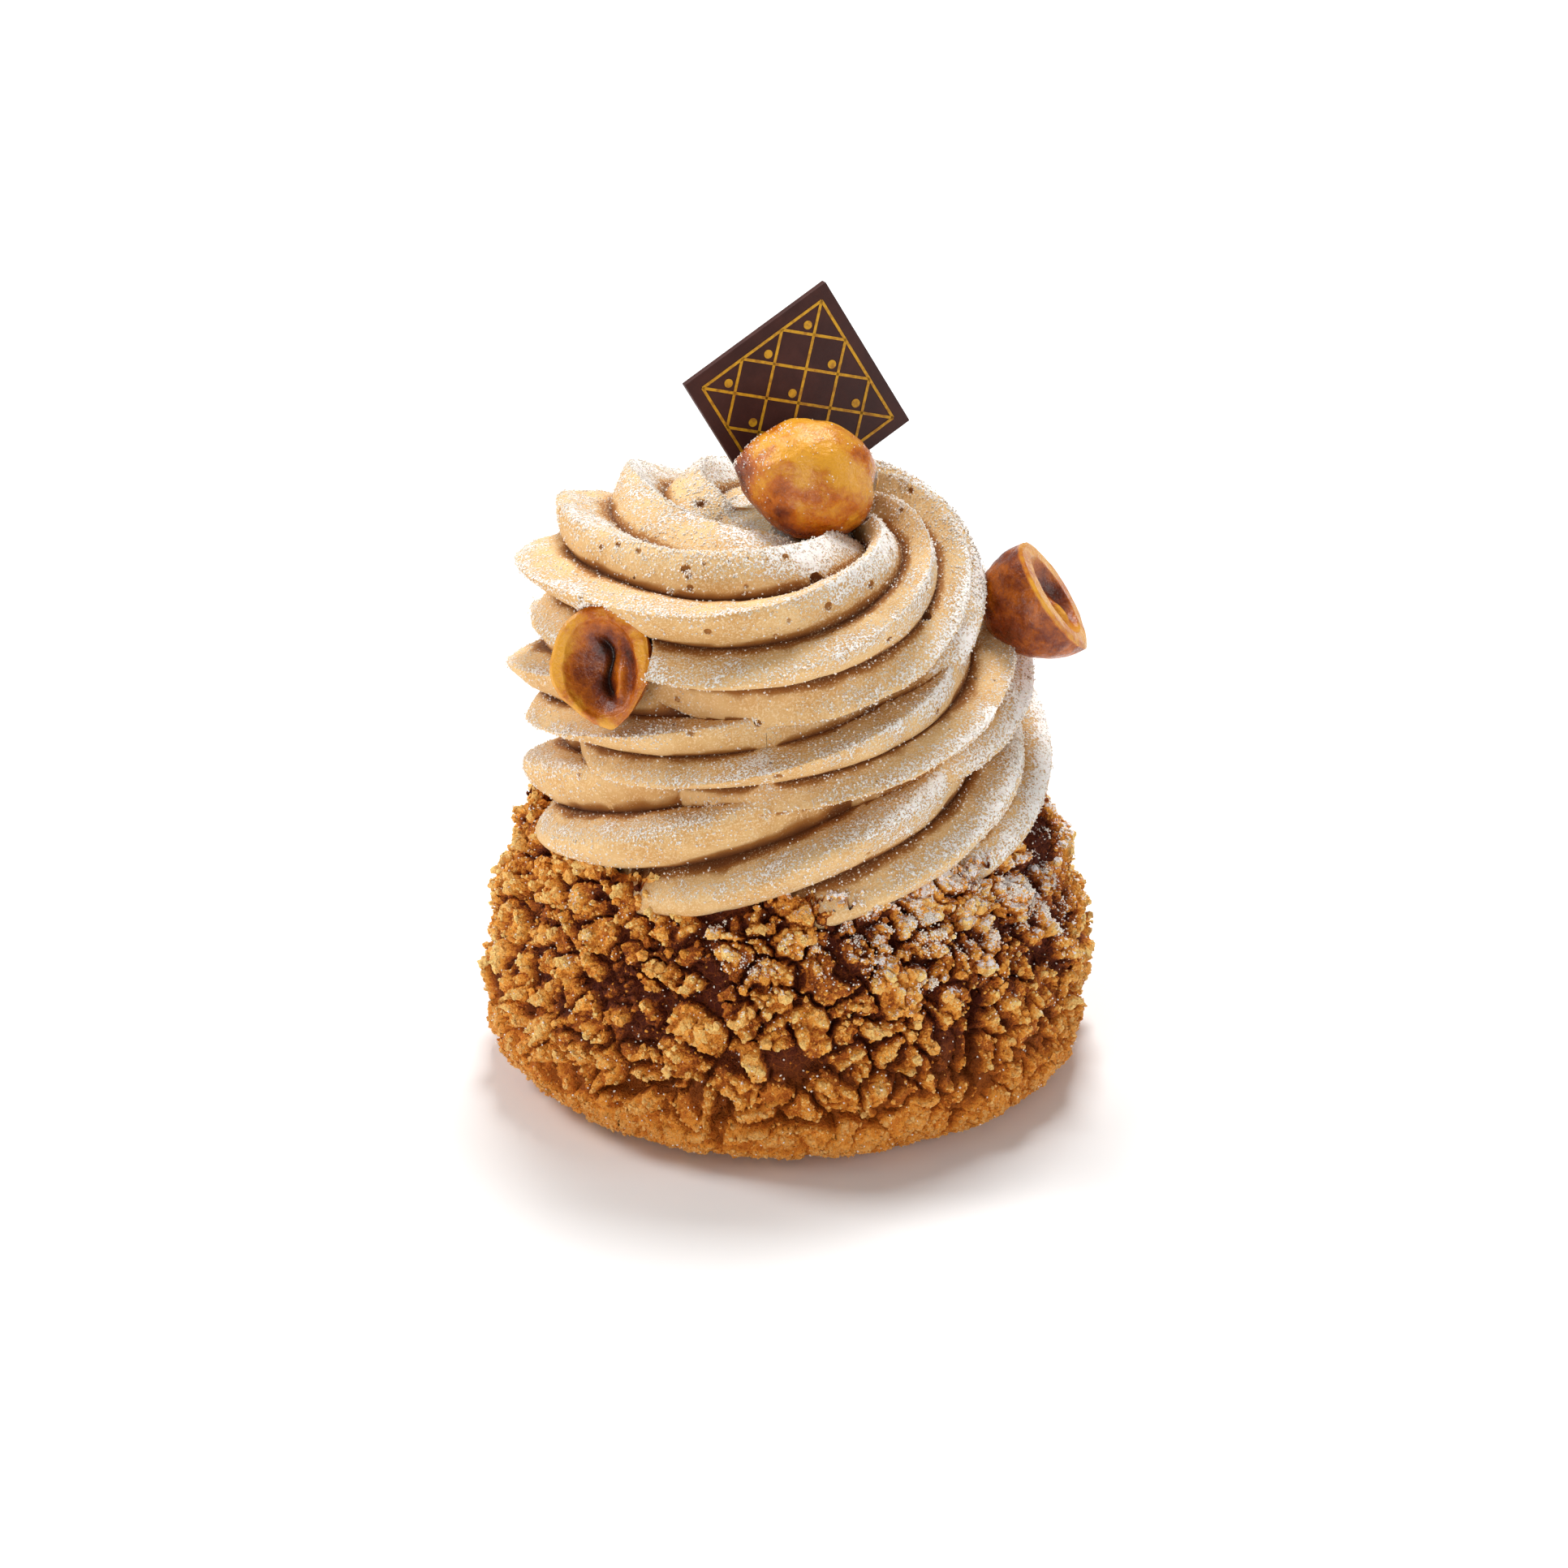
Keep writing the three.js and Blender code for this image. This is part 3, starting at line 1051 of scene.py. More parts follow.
@dataclass
class Bun:
    """The choux bun and its baked crumble crust.

    The crust is broken into plates, the plates into chips, and grains lie on both. A few
    plates and chips are lost. Near the foot, between the heights of foot_fade, the crust is
    closer and its cracks are narrower. Sizes and heights are millimetres.
    """

    foot_radius: float = 23.0
    belly_radius: float = 34.2
    belly_height: float = 10.0
    shoulder_radius: float = 27.6
    shoulder_height: float = 33.2
    rim_height: float = 32.2
    cut_radius: float = 26.6
    cut_height: float = 31.0
    underside_fullness: float = 3.0
    side_fullness: float = 2.16
    lump_size: float = 7.5
    lump_height: float = 1.7
    crumb_size: float = 3.3
    crumb_height: float = 1.9
    seed: int = 11
    columns: int = 660
    underside_rows: int = 44
    side_rows: int = 88
    cap_rows: int = 8
    foot_crowding: float = 1.6
    cut_cover: float = 0.3
    fray_size: float = 2.6
    fray_reach: float = 2.0
    plate_size: float = 5.0
    plate_gap: float = 0.95
    plate_depth: float = 1.4
    plate_step: float = 0.35
    lost_plates: float = 0.07
    lost_plate_depth: float = 1.1
    chip_size: float = 2.3
    chip_gap: float = 0.7
    chip_depth: float = 0.9
    chip_step: float = 0.3
    lost_chips: float = 0.16
    lost_chip_depth: float = 0.5
    grain_size: float = 0.8
    grain_height: float = 0.4
    grit_size: float = 1.0
    grit_height: float = 0.3
    tear_depth: float = 2.0
    foot_fade: tuple = (1.0, 13.0)
    foot_closing: float = 0.6
    crack_cover: float = 12000.0
    crack_margin: float = 1.0
    crack_draw: float = 12.8
    crack_middle: float = 0.3
    flush_lift: float = 0.68
    lift_span: float = 2.6
    powder_side: tuple = (-12.0, 26.0)
    powder_height: tuple = (9.0, 30.0)
    cluster_height: tuple = (8.0, 22.0)
    cluster_detail: float = 2.2
    cluster_relief: float = 0.9
    crumb_relief: tuple = (0.55, 1.3)
    crumb_squash: tuple = (0.7, 1.25)
    crumb_sink: float = 0.45
    crumb_margin: float = 0.5
    crumb_lowest: float = 0.7

    def profile(self) -> np.ndarray:
        """Works out the smooth bun's outline.

        Returns:
            Rows of radius, height and how much crust lies there, from the middle of the
            foot, up the side and in to the middle of the cut.
        """
        t = np.linspace(0, 1, self.underside_rows) ** self.foot_crowding
        swell = (1 - (1 - t) ** self.underside_fullness) ** (1 / self.underside_fullness)
        reach = self.belly_radius - self.foot_radius
        under = np.stack([self.foot_radius + reach * swell, t * self.belly_height, t**0.5], 1)
        height = np.linspace(self.belly_height, self.rim_height, self.side_rows)[1:]
        t = (height - self.belly_height) / (self.shoulder_height - self.belly_height)
        lean = self.belly_radius - self.shoulder_radius
        radius = self.belly_radius - lean * t**self.side_fullness
        side = np.stack([radius, height, np.ones_like(t)], 1)
        foot = np.stack([
            np.linspace(0, self.foot_radius, self.cap_rows)[:-1],
            np.zeros(self.cap_rows - 1),
            np.zeros(self.cap_rows - 1),
        ], 1)
        cut_radius = np.linspace(self.cut_radius, 0, self.cap_rows)
        cut = np.stack([
            cut_radius,
            np.full(self.cap_rows, self.cut_height),
            np.where(cut_radius > 0, self.cut_cover, 0.0),
        ], 1)
        return np.concatenate([foot, under, side, cut])

    def cracks(self, points: np.ndarray, size: float, seed: int
               ) -> tuple[np.ndarray, np.ndarray, np.ndarray]:
        """Breaks the crust into uneven cells.

        Args:
            points: places on the crust in millimetres.
            size: a cell's mean size.
            seed: picks one of many patterns.

        Returns:
            For each place, how far it is from a crack, its cell's random number, and how
            far it is from the middle of the cell.
        """
        dice = np.random.default_rng(seed)
        count = int(self.crack_cover / size**2)
        angle = dice.uniform(0, TURN, count)
        top = self.shoulder_height + self.crack_margin
        height = dice.uniform(-self.crack_margin, top, count)
        t = np.clip(height / self.shoulder_height, 0, 1)
        radius = self.belly_radius - self.crack_draw * (t - self.crack_middle) ** 2
        seeds = np.stack([radius * np.cos(angle), radius * np.sin(angle), height], 1)
        tree = KDTree(count)
        for index, place in enumerate(seeds):
            tree.insert(place, index)
        tree.balance()
        found = [tree.find_n(place, 2) for place in points]
        gap = np.array([pair[1][2] - pair[0][2] for pair in found])
        near = np.array([pair[0][2] for pair in found])
        luck = dice.uniform(0, 1, count)[np.array([pair[0][1] for pair in found])]
        return gap, luck, near

    def torn(self, points: np.ndarray) -> np.ndarray:
        """Says where the crust tore open as the bun rose.

        Args:
            points: places on the crust in millimetres.

        Returns:
            1 in the middle of a tear and 0 outside it, for each place.
        """
        azimuth = np.degrees(np.arctan2(points[:, 1], points[:, 0]))
        open_to = np.zeros(len(points))
        for tear in TEARS:
            along = tear.end_azimuth - tear.azimuth
            rise = tear.end_height - tear.height
            mm_per_degree = math.radians(1) * self.belly_radius
            run = np.array([along * mm_per_degree, rise])
            away = (azimuth - tear.azimuth + 180) % 360 - 180
            place = np.stack([away * mm_per_degree, points[:, 2] - tear.height], 1)
            share = np.clip(place @ run / (run @ run), 0, 1)
            miss = np.linalg.norm(place - share[:, None] * run, axis=1)
            width = tear.width * (0.35 + 0.65 * np.sin(math.pi * (0.15 + 0.7 * share)))
            open_to = np.maximum(open_to, 1 - ramp(miss / width, 0.35, 1))
        return open_to

    def relief(self, smooth: np.ndarray) -> tuple[np.ndarray, np.ndarray, np.ndarray]:
        """Works out the crust's relief.

        Args:
            smooth: places on the smooth bun, shape (n, 3).

        Returns:
            The broad lumps, the fine relief and each place's tone.
        """
        lumps = smooth_noise(smooth, self.lump_size, self.seed) * self.lump_height
        lumps += smooth_noise(smooth, self.crumb_size, self.seed + 1) * self.crumb_height
        sway = [rough_noise(smooth, self.fray_size, seed=31 + 7 * k) for k in range(3)]
        frayed = smooth + np.stack(sway, 1) * self.fray_reach
        low = 1 - ramp(smooth[:, 2], *self.foot_fade)
        narrowed = 1 - self.foot_closing * low
        gap, plate_luck, _ = self.cracks(frayed, self.plate_size, seed=3)
        plate = ramp(gap / (self.plate_gap * narrowed), 0.1, 1)
        lost = (plate_luck < self.lost_plates * (1 - low)).astype(float)
        fine = -self.plate_depth * (1 - 0.3 * low) * (1 - plate)
        fine -= self.lost_plate_depth * lost * plate
        fine += (plate_luck - 0.5) * self.plate_step * (1 - lost)
        gap, chip_luck, _ = self.cracks(frayed, self.chip_size, seed=4)
        chip = ramp(gap / (self.chip_gap * narrowed), 0.05, 1)
        lost = (chip_luck < self.lost_chips).astype(float)
        fine += -self.chip_depth * (1 - 0.35 * low) * (1 - chip)
        step = (chip_luck - 0.5) * self.chip_step - self.lost_chip_depth * lost
        fine += step * (1 - 0.5 * low) * chip
        _, grain_luck, near = self.cracks(frayed, self.grain_size, seed=5)
        fine += self.grain_height * (1 - ramp(near, 0.05, 0.65)) * (0.4 + grain_luck)
        fine += rough_noise(smooth, self.grit_size, seed=77) * self.grit_height
        fine -= self.tear_depth * self.torn(frayed)
        tone = 0.4 * plate_luck + 0.35 * chip_luck + 0.25 * grain_luck
        return lumps, fine, tone

    def crust(self) -> bpy.types.Object:
        """Builds the bun with its crust.

        Returns:
            One closed object with the marks lift, tone and powder.
        """
        profile = self.profile()
        angle = np.linspace(0, TURN, self.columns + 1)
        angle[-1] = 0
        radius, height, cover = (part[:, None] for part in profile.T)
        slope = np.gradient(profile[:, :2], axis=0)
        slope /= np.linalg.norm(slope, axis=1)[:, None] + NEAR_ZERO
        outward = slope[:, 1][:, None]
        upward = -slope[:, 0][:, None]
        level = height * np.ones_like(angle)[None, :]
        smooth = np.stack([radius * np.cos(angle), radius * np.sin(angle), level], -1)
        shape = smooth.shape[:2]
        lumps, fine, tone = (
            part.reshape(shape) for part in self.relief(smooth.reshape(-1, 3)))
        lumps = lumps * cover
        fine = fine * cover
        out = radius + lumps + fine * outward
        rise = height + fine * upward * (cover > 0)
        rise = np.where(height <= 0, 0, np.maximum(rise, 0))
        points = np.stack([out * np.cos(angle), out * np.sin(angle), rise], -1)
        # lift is the relief's height; the crust's material paints shade where it is low.
        lift = np.clip(self.flush_lift + fine / self.lift_span, 0, 1)
        powder = self.powder(points.reshape(-1, 3)).reshape(shape) * cover
        return skin("bun_crust", points, {"lift": lift, "tone": tone, "powder": powder})

    def powder(self, points: np.ndarray) -> np.ndarray:
        """Says how much sugar fell on each place of the crust.

        Args:
            points: places on the crust in millimetres.

        Returns:
            From 0, none, to 1, white.
        """
        x, y, z = points.T
        side = ramp(x - 0.3 * y, *self.powder_side)
        high = ramp(z, *self.powder_height)
        patches = rough_noise(points, lump=7, seed=91)
        return high * (0.12 + 0.52 * side) + patches * 0.75 * high

    def crumbs(self, crust: bpy.types.Object, kind: CrumbKind) -> bpy.types.Object:
        """Scatters one kind of crumb over the crust.

        Args:
            crust: the bun's crust, already built.
            kind: the crumbs' sizes and number.

        Returns:
            One object with all crumbs of the kind, with the crust's marks.
        """
        dice = np.random.default_rng(kind.seed)
        mesh = crust.data
        corners, normals = corners_of(mesh), normals_of(mesh)
        lift = read_mark(mesh, "lift")
        radius = np.hypot(corners[:, 0], corners[:, 1])
        open_side = radius > self.cut_radius - self.crumb_margin
        open_side = open_side & (corners[:, 2] > self.crumb_lowest)
        weight = open_side * (0.06 + lift**2)
        if kind.divisions > 1:
            weight = weight * ramp(corners[:, 2], *self.cluster_height)
        chosen = dice.choice(len(corners), kind.count, replace=False, p=weight / weight.sum())
        unit = bmesh.new()
        bmesh.ops.create_icosphere(unit, subdivisions=kind.divisions, radius=1)
        crumbs, each = scatter(kind.name, unit, kind.count)
        shape = corners_of(crumbs.data).reshape(kind.count, each, 3) * MM
        luck = dice.uniform(0, 1, kind.count) ** kind.skew
        size = kind.smallest + (kind.largest - kind.smallest) * luck
        if kind.divisions > 1:
            apart = 9 * chosen[:, None, None] % 97
            places = (shape * self.cluster_detail + apart).reshape(-1, 3)
            rough = rough_noise(places, lump=1, seed=5).reshape(kind.count, each, 1)
            shape = shape * (1 + self.cluster_relief * rough)
        else:
            shape = shape * dice.uniform(*self.crumb_relief, (kind.count, each, 1))
        shape = tumbled(dice, shape, size, self.crumb_squash)
        centre = corners[chosen] - normals[chosen] * (self.crumb_sink * size)[:, None]
        points = settle(crumbs, shape, centre)
        # A crumb takes the lift of its place, and with it the painted shade of a crack, made
        # paler by its kind.
        own = lift[chosen] + kind.paler + dice.uniform(-0.1, 0.2, kind.count)
        write_mark(crumbs.data, "lift", np.repeat(np.clip(own, 0, 1), each))
        write_mark(crumbs.data, "tone", np.repeat(dice.uniform(0, 1, kind.count), each))
        write_mark(crumbs.data, "powder", self.powder(points))
        shade_smooth(crumbs.data, sharp_degrees=40)
        return crumbs

    def build(self) -> bpy.types.Object:
        """Builds and dresses the bun and its crumbs.

        Returns:
            The bun's crust.
        """
        crust = self.crust()
        shade_smooth(crust.data, sharp_degrees=60)
        material = CrustFinish().material()
        dress(crust, material, Slot.CRUST, "bun")
        for kind in CRUMBS:
            dress(self.crumbs(crust, kind), material, Slot.CRUST)
        return crust


# ------------------------------------------------------------------ the piped cream


@dataclass(frozen=True)
class Station:
    """A place on the nozzle's course, in degrees and millimetres."""

    turn: float
    radius: float
    height: float
    half_width: float
    half_height: float
    twist: float


# The nozzle's course. Azimuth 270 is the front, and each 360 is one turn higher.
COURSE = (
    Station(60, 15.5, 34.5, 12.5, 9.5, -200),
    Station(150, 16, 34.5, 13, 10, -110),
    Station(240, 17, 34.5, 14.2, 12.3, -28),
    Station(285, 17, 35, 13.8, 11.8, 20),
    Station(330, 16.5, 35, 13.5, 10.5, 70),
    Station(420, 16.5, 41, 13, 9.5, 158),
    Station(540, 18.5, 48, 13, 8, 270),
    Station(630, 18, 46, 12.5, 7.5, 375),
    Station(720, 15, 48, 12.5, 8.5, 450),
    Station(800, 14.5, 54.5, 12.5, 9, 525),
    Station(885, 15.5, 60.5, 13, 8.5, 620),
    Station(930, 18, 60.5, 14, 8.5, 652),
    Station(975, 18, 59, 13, 10, 665),
    Station(1020, 16, 58, 11, 10.5, 705),
    Station(1065, 12.5, 58, 10, 10.5, 765),
    Station(1110, 10.5, 58.5, 9.5, 10.5, 820),
    Station(1190, 9.5, 60, 8.5, 9.5, 915),
)


@dataclass(frozen=True)
class Bubble:
    """A broken air bubble: its pixel in the photograph and its radius in millimetres."""

    x: int
    y: int
    radius: float


# The bubbles that the photograph shows. Smaller ones are scattered by chance.
BUBBLES = (
    Bubble(863, 621, 0.9),
    Bubble(1007, 715, 1.05),
    Bubble(1074, 720, 0.6),
    Bubble(1021, 747, 0.55),
    Bubble(919, 722, 0.45),
    Bubble(898, 693, 0.4),
    Bubble(786, 679, 0.45),
    Bubble(761, 671, 0.4),
    Bubble(905, 710, 0.35),
    Bubble(868, 695, 0.4),
    Bubble(849, 710, 0.45),
    Bubble(828, 728, 0.4),
    Bubble(968, 686, 0.5),
    Bubble(972, 765, 0.35),
    Bubble(955, 783, 0.35),
    Bubble(1096, 788, 0.45),
    Bubble(851, 902, 0.7),
    Bubble(1268, 835, 0.4),
)


@dataclass
class PipedCream:
    """A star-nozzle rope of cream that climbs in three turns over its own filling.

    Depths and softness are parts of the rope's half width, turns are degrees travelled by
    the nozzle, and all other sizes are millimetres. Pits are broken air bubbles.
    """

    ridges: int = 8
    groove_depth: float = 0.3
    crown_groove_depth: float = 0.38
    softness: float = 0.045
    lobe_softness: float = 0.4
    lean: float = 0.58
    columns_per_ridge: int = 18
    crowding: float = 1.3
    degrees_per_row: float = 1.0
    start_length: float = 25.0
    tail_length: float = 60.0
    tail_stub: float = 0.35
    lengths: int = 4
    filling: tuple = ((26.3, 30), (26.3, 33.2), (24.5, 35.2), (19, 36.5), (18, 50),
                      (14, 58), (10, 62.5), (7, 66))
    filling_sides: int = 96
    lobe_turns: tuple = (340.0, 480.0)
    crown_turns: tuple = (760.0, 860.0)
    crown_end_turns: tuple = (960.0, 1040.0)
    pit_count: int = 170
    pit_rise: float = 0.4
    pit_radius: float = 0.22
    pit_growth: float = 0.6
    pit_least_reach: float = 12.0
    pit_least_height: float = 36.0
    pit_heights: tuple = (44.0, 62.0)
    swell_size: float = 7.0
    swell_height: float = 0.4
    grain_size: float = 1.5
    grain_height: float = 0.1
    hollow_passes: int = 24

    def star(self, around: np.ndarray, depth: np.ndarray, soft: np.ndarray) -> np.ndarray:
        """Gives the star section: 1 on a ridge, less in the grooves.

        Args:
            around: places round the section, in ridge pitches.
            depth: the grooves' depth, as a part of the half width.
            soft: how round the ridges are.

        Returns:
            The section's size at each place.
        """
        place = around - np.floor(around)
        lower = 1 - self.lean
        to_groove = np.where(place < lower, place / lower, (1 - place) / self.lean)
        fall = (np.hypot(to_groove, soft) - soft) / (np.hypot(1, soft) - soft)
        return 1 - depth * fall

    def taper(self, turns: np.ndarray) -> np.ndarray:
        """Gives the rope's blunt start and its tail, as a part of the full section.

        Args:
            turns: degrees travelled.

        Returns:
            The part of the section at each turn.
        """
        gone = (turns - COURSE[0].turn) / self.start_length
        left = (COURSE[-1].turn - turns) / self.tail_length
        size = 1.0
        for part in (gone, left):
            size = size * np.sqrt(1 - (1 - np.clip(part, 0, 1)) ** 2)
        return np.maximum(size, self.tail_stub)

    def rope(self, start: float, end: float) -> bpy.types.Object:
        """Builds one length of rope, closed at both ends.

        Args:
            start: degrees travelled at its start.
            end: degrees travelled at its end.

        Returns:
            A closed object.
        """
        rows = round((end - start) / self.degrees_per_row) + 1
        turns = np.linspace(start, end, rows)
        turns = np.concatenate([turns[:1], turns, turns[-1:]])
        places = np.array([station.turn for station in COURSE], float)
        sizes = np.array([
            (s.radius, s.height, s.half_width, s.half_height, s.twist) for s in COURSE])
        radius, height, wide, tall, twist = (
            part[:, None] for part in through_stations(places, sizes, turns).T)
        half = self.columns_per_ridge // 2
        flank = np.linspace(0, 1, half, endpoint=False)
        lower = (1 - self.lean) * flank**self.crowding
        upper = 1 - self.lean * (1 - flank) ** self.crowding
        around = (np.arange(self.ridges)[:, None] + np.append(lower, upper)).reshape(-1)
        around = np.append(around, 0)
        crown = ramp(turns, *self.crown_turns) * (1 - ramp(turns, *self.crown_end_turns))
        depth = self.groove_depth + (self.crown_groove_depth - self.groove_depth) * crown
        soft = self.softness + self.lobe_softness * (1 - ramp(turns, *self.lobe_turns))
        size = self.taper(turns)[:, None] * self.star(around, depth[:, None], soft[:, None])
        size[0] = size[-1] = 0
        angle = np.radians(twist + around * 360 / self.ridges)
        out = radius + wide * size * np.cos(angle)
        azimuth = np.radians(turns)[:, None]
        points = np.stack([
            out * np.cos(azimuth), out * np.sin(azimuth),
            height + tall * size * np.sin(angle)], -1)
        return skin("rope", points)

    def core(self) -> bpy.types.Object:
        """Builds the filling inside the rope by turning its outline.

        Returns:
            A closed object.
        """
        outline = [(0, self.filling[0][1]), *self.filling, (0, self.filling[-1][1])]
        bm = bmesh.new()
        made = [bm.verts.new((radius * MM, 0, height * MM)) for radius, height in outline]
        edges = [bm.edges.new(pair) for pair in zip(made, made[1:])]
        bmesh.ops.spin(
            bm, geom=made + edges, cent=(0, 0, 0), axis=(0, 0, 1), dvec=(0, 0, 0),
            angle=TURN, steps=self.filling_sides, use_merge=True)
        bmesh.ops.remove_doubles(bm, verts=bm.verts, dist=MERGE_DISTANCE)
        bmesh.ops.recalc_face_normals(bm, faces=bm.faces)
        return bmesh_object("filling", bm)

    def pits(self, body: bpy.types.Object, studio: "Studio") -> bpy.types.Object:
        """Makes the air bubbles that broke at the surface.

        Args:
            body: the cream, joined.
            studio: the camera, which says where the bubbles seen from it lie.

        Returns:
            One object of small balls that lie a little proud of the cream's surface.
        """
        dice = np.random.default_rng(5)
        corners, normals = corners_of(body.data), normals_of(body.data)
        radius = np.hypot(corners[:, 0], corners[:, 1])
        fit = (radius > self.pit_least_reach) & (normals[:, 2] < 0.75)
        fit = fit & (corners[:, 2] > self.pit_least_height)
        weight = fit * (0.15 + ramp(corners[:, 2], *self.pit_heights))
        chosen = dice.choice(len(corners), self.pit_count, replace=False,
                             p=weight / weight.sum())
        size = self.pit_radius + self.pit_growth * dice.uniform(0, 1, self.pit_count) ** 4
        seen, facing = studio.seen(body, [(pit.x, pit.y) for pit in BUBBLES])
        size = np.concatenate([size, [pit.radius for pit in BUBBLES]])
        outward = np.concatenate([normals[chosen], facing]) * size[:, None]
        centres = np.concatenate([corners[chosen], seen]) + self.pit_rise * outward
        unit = bmesh.new()
        bmesh.ops.create_icosphere(unit, subdivisions=2, radius=1)
        balls, each = scatter("pits", unit, len(size))
        shape = corners_of(balls.data).reshape(len(size), each, 3) * MM
        points = shape * size[:, None, None] + centres[:, None, :]
        move_corners(balls.data, points.reshape(-1, 3))
        return balls

    def hollows(self, mesh: bpy.types.Mesh) -> np.ndarray:
        """Measures how deep each corner lies in a crease.

        Args:
            mesh: the mesh to measure.

        Returns:
            About 0 on a crest, 0.5 on a flat face and 1 in a crease.
        """
        ends = np.empty(len(mesh.edges) * 2, dtype=np.int64)
        mesh.edges.foreach_get("vertices", ends)
        first, second = ends.reshape(-1, 2).T
        count = len(mesh.vertices)
        links = np.bincount(ends, minlength=count).clip(1)
        corners = corners_of(mesh)
        mean = corners.copy()
        for _ in range(self.hollow_passes):
            total = np.stack([
                np.bincount(first, mean[second, k], count)
                + np.bincount(second, mean[first, k], count) for k in range(3)], 1)
            mean = 0.5 * mean + 0.5 * total / links[:, None]
        depth = ((mean - corners) * normals_of(mesh)).sum(axis=1)
        return np.clip(0.5 + depth, 0, 1)

    def build(self, pressed_in: list, studio: "Studio") -> bpy.types.Object:
        """Builds and dresses the cream.

        Args:
            pressed_in: the nuts, each of which leaves its print in the cream.
            studio: the camera, for the bubbles that are seen from it.

        Returns:
            The cream.
        """
        first = COURSE[0].turn
        span = (COURSE[-1].turn - first) / self.lengths
        ropes = [self.rope(first + k * span, first + (k + 1) * span)
                 for k in range(self.lengths)]
        cream = combine(self.core(), ropes, Joining.UNION)
        cream.name = "piped_cream"
        combine(cream, [nut.socket() for nut in pressed_in], Joining.DIFFERENCE)
        combine(cream, [self.pits(cream, studio)], Joining.DIFFERENCE)
        mesh = cream.data
        corners, normals = corners_of(mesh), normals_of(mesh)
        swell = rough_noise(corners, self.swell_size, seed=51) * self.swell_height
        swell += rough_noise(corners, self.grain_size, seed=57) * self.grain_height
        move_corners(mesh, corners + normals * swell[:, None])
        # The cream's material paints shade into the creases from the mark hollow, and the sugar
        # reads it too.
        write_mark(mesh, "hollow", self.hollows(mesh))
        shade_smooth(mesh, sharp_degrees=42)
        dress(cream, CreamFinish(), Slot.CREAM, "cream")
        return cream


# ------------------------------------------------------------------ the hazelnuts


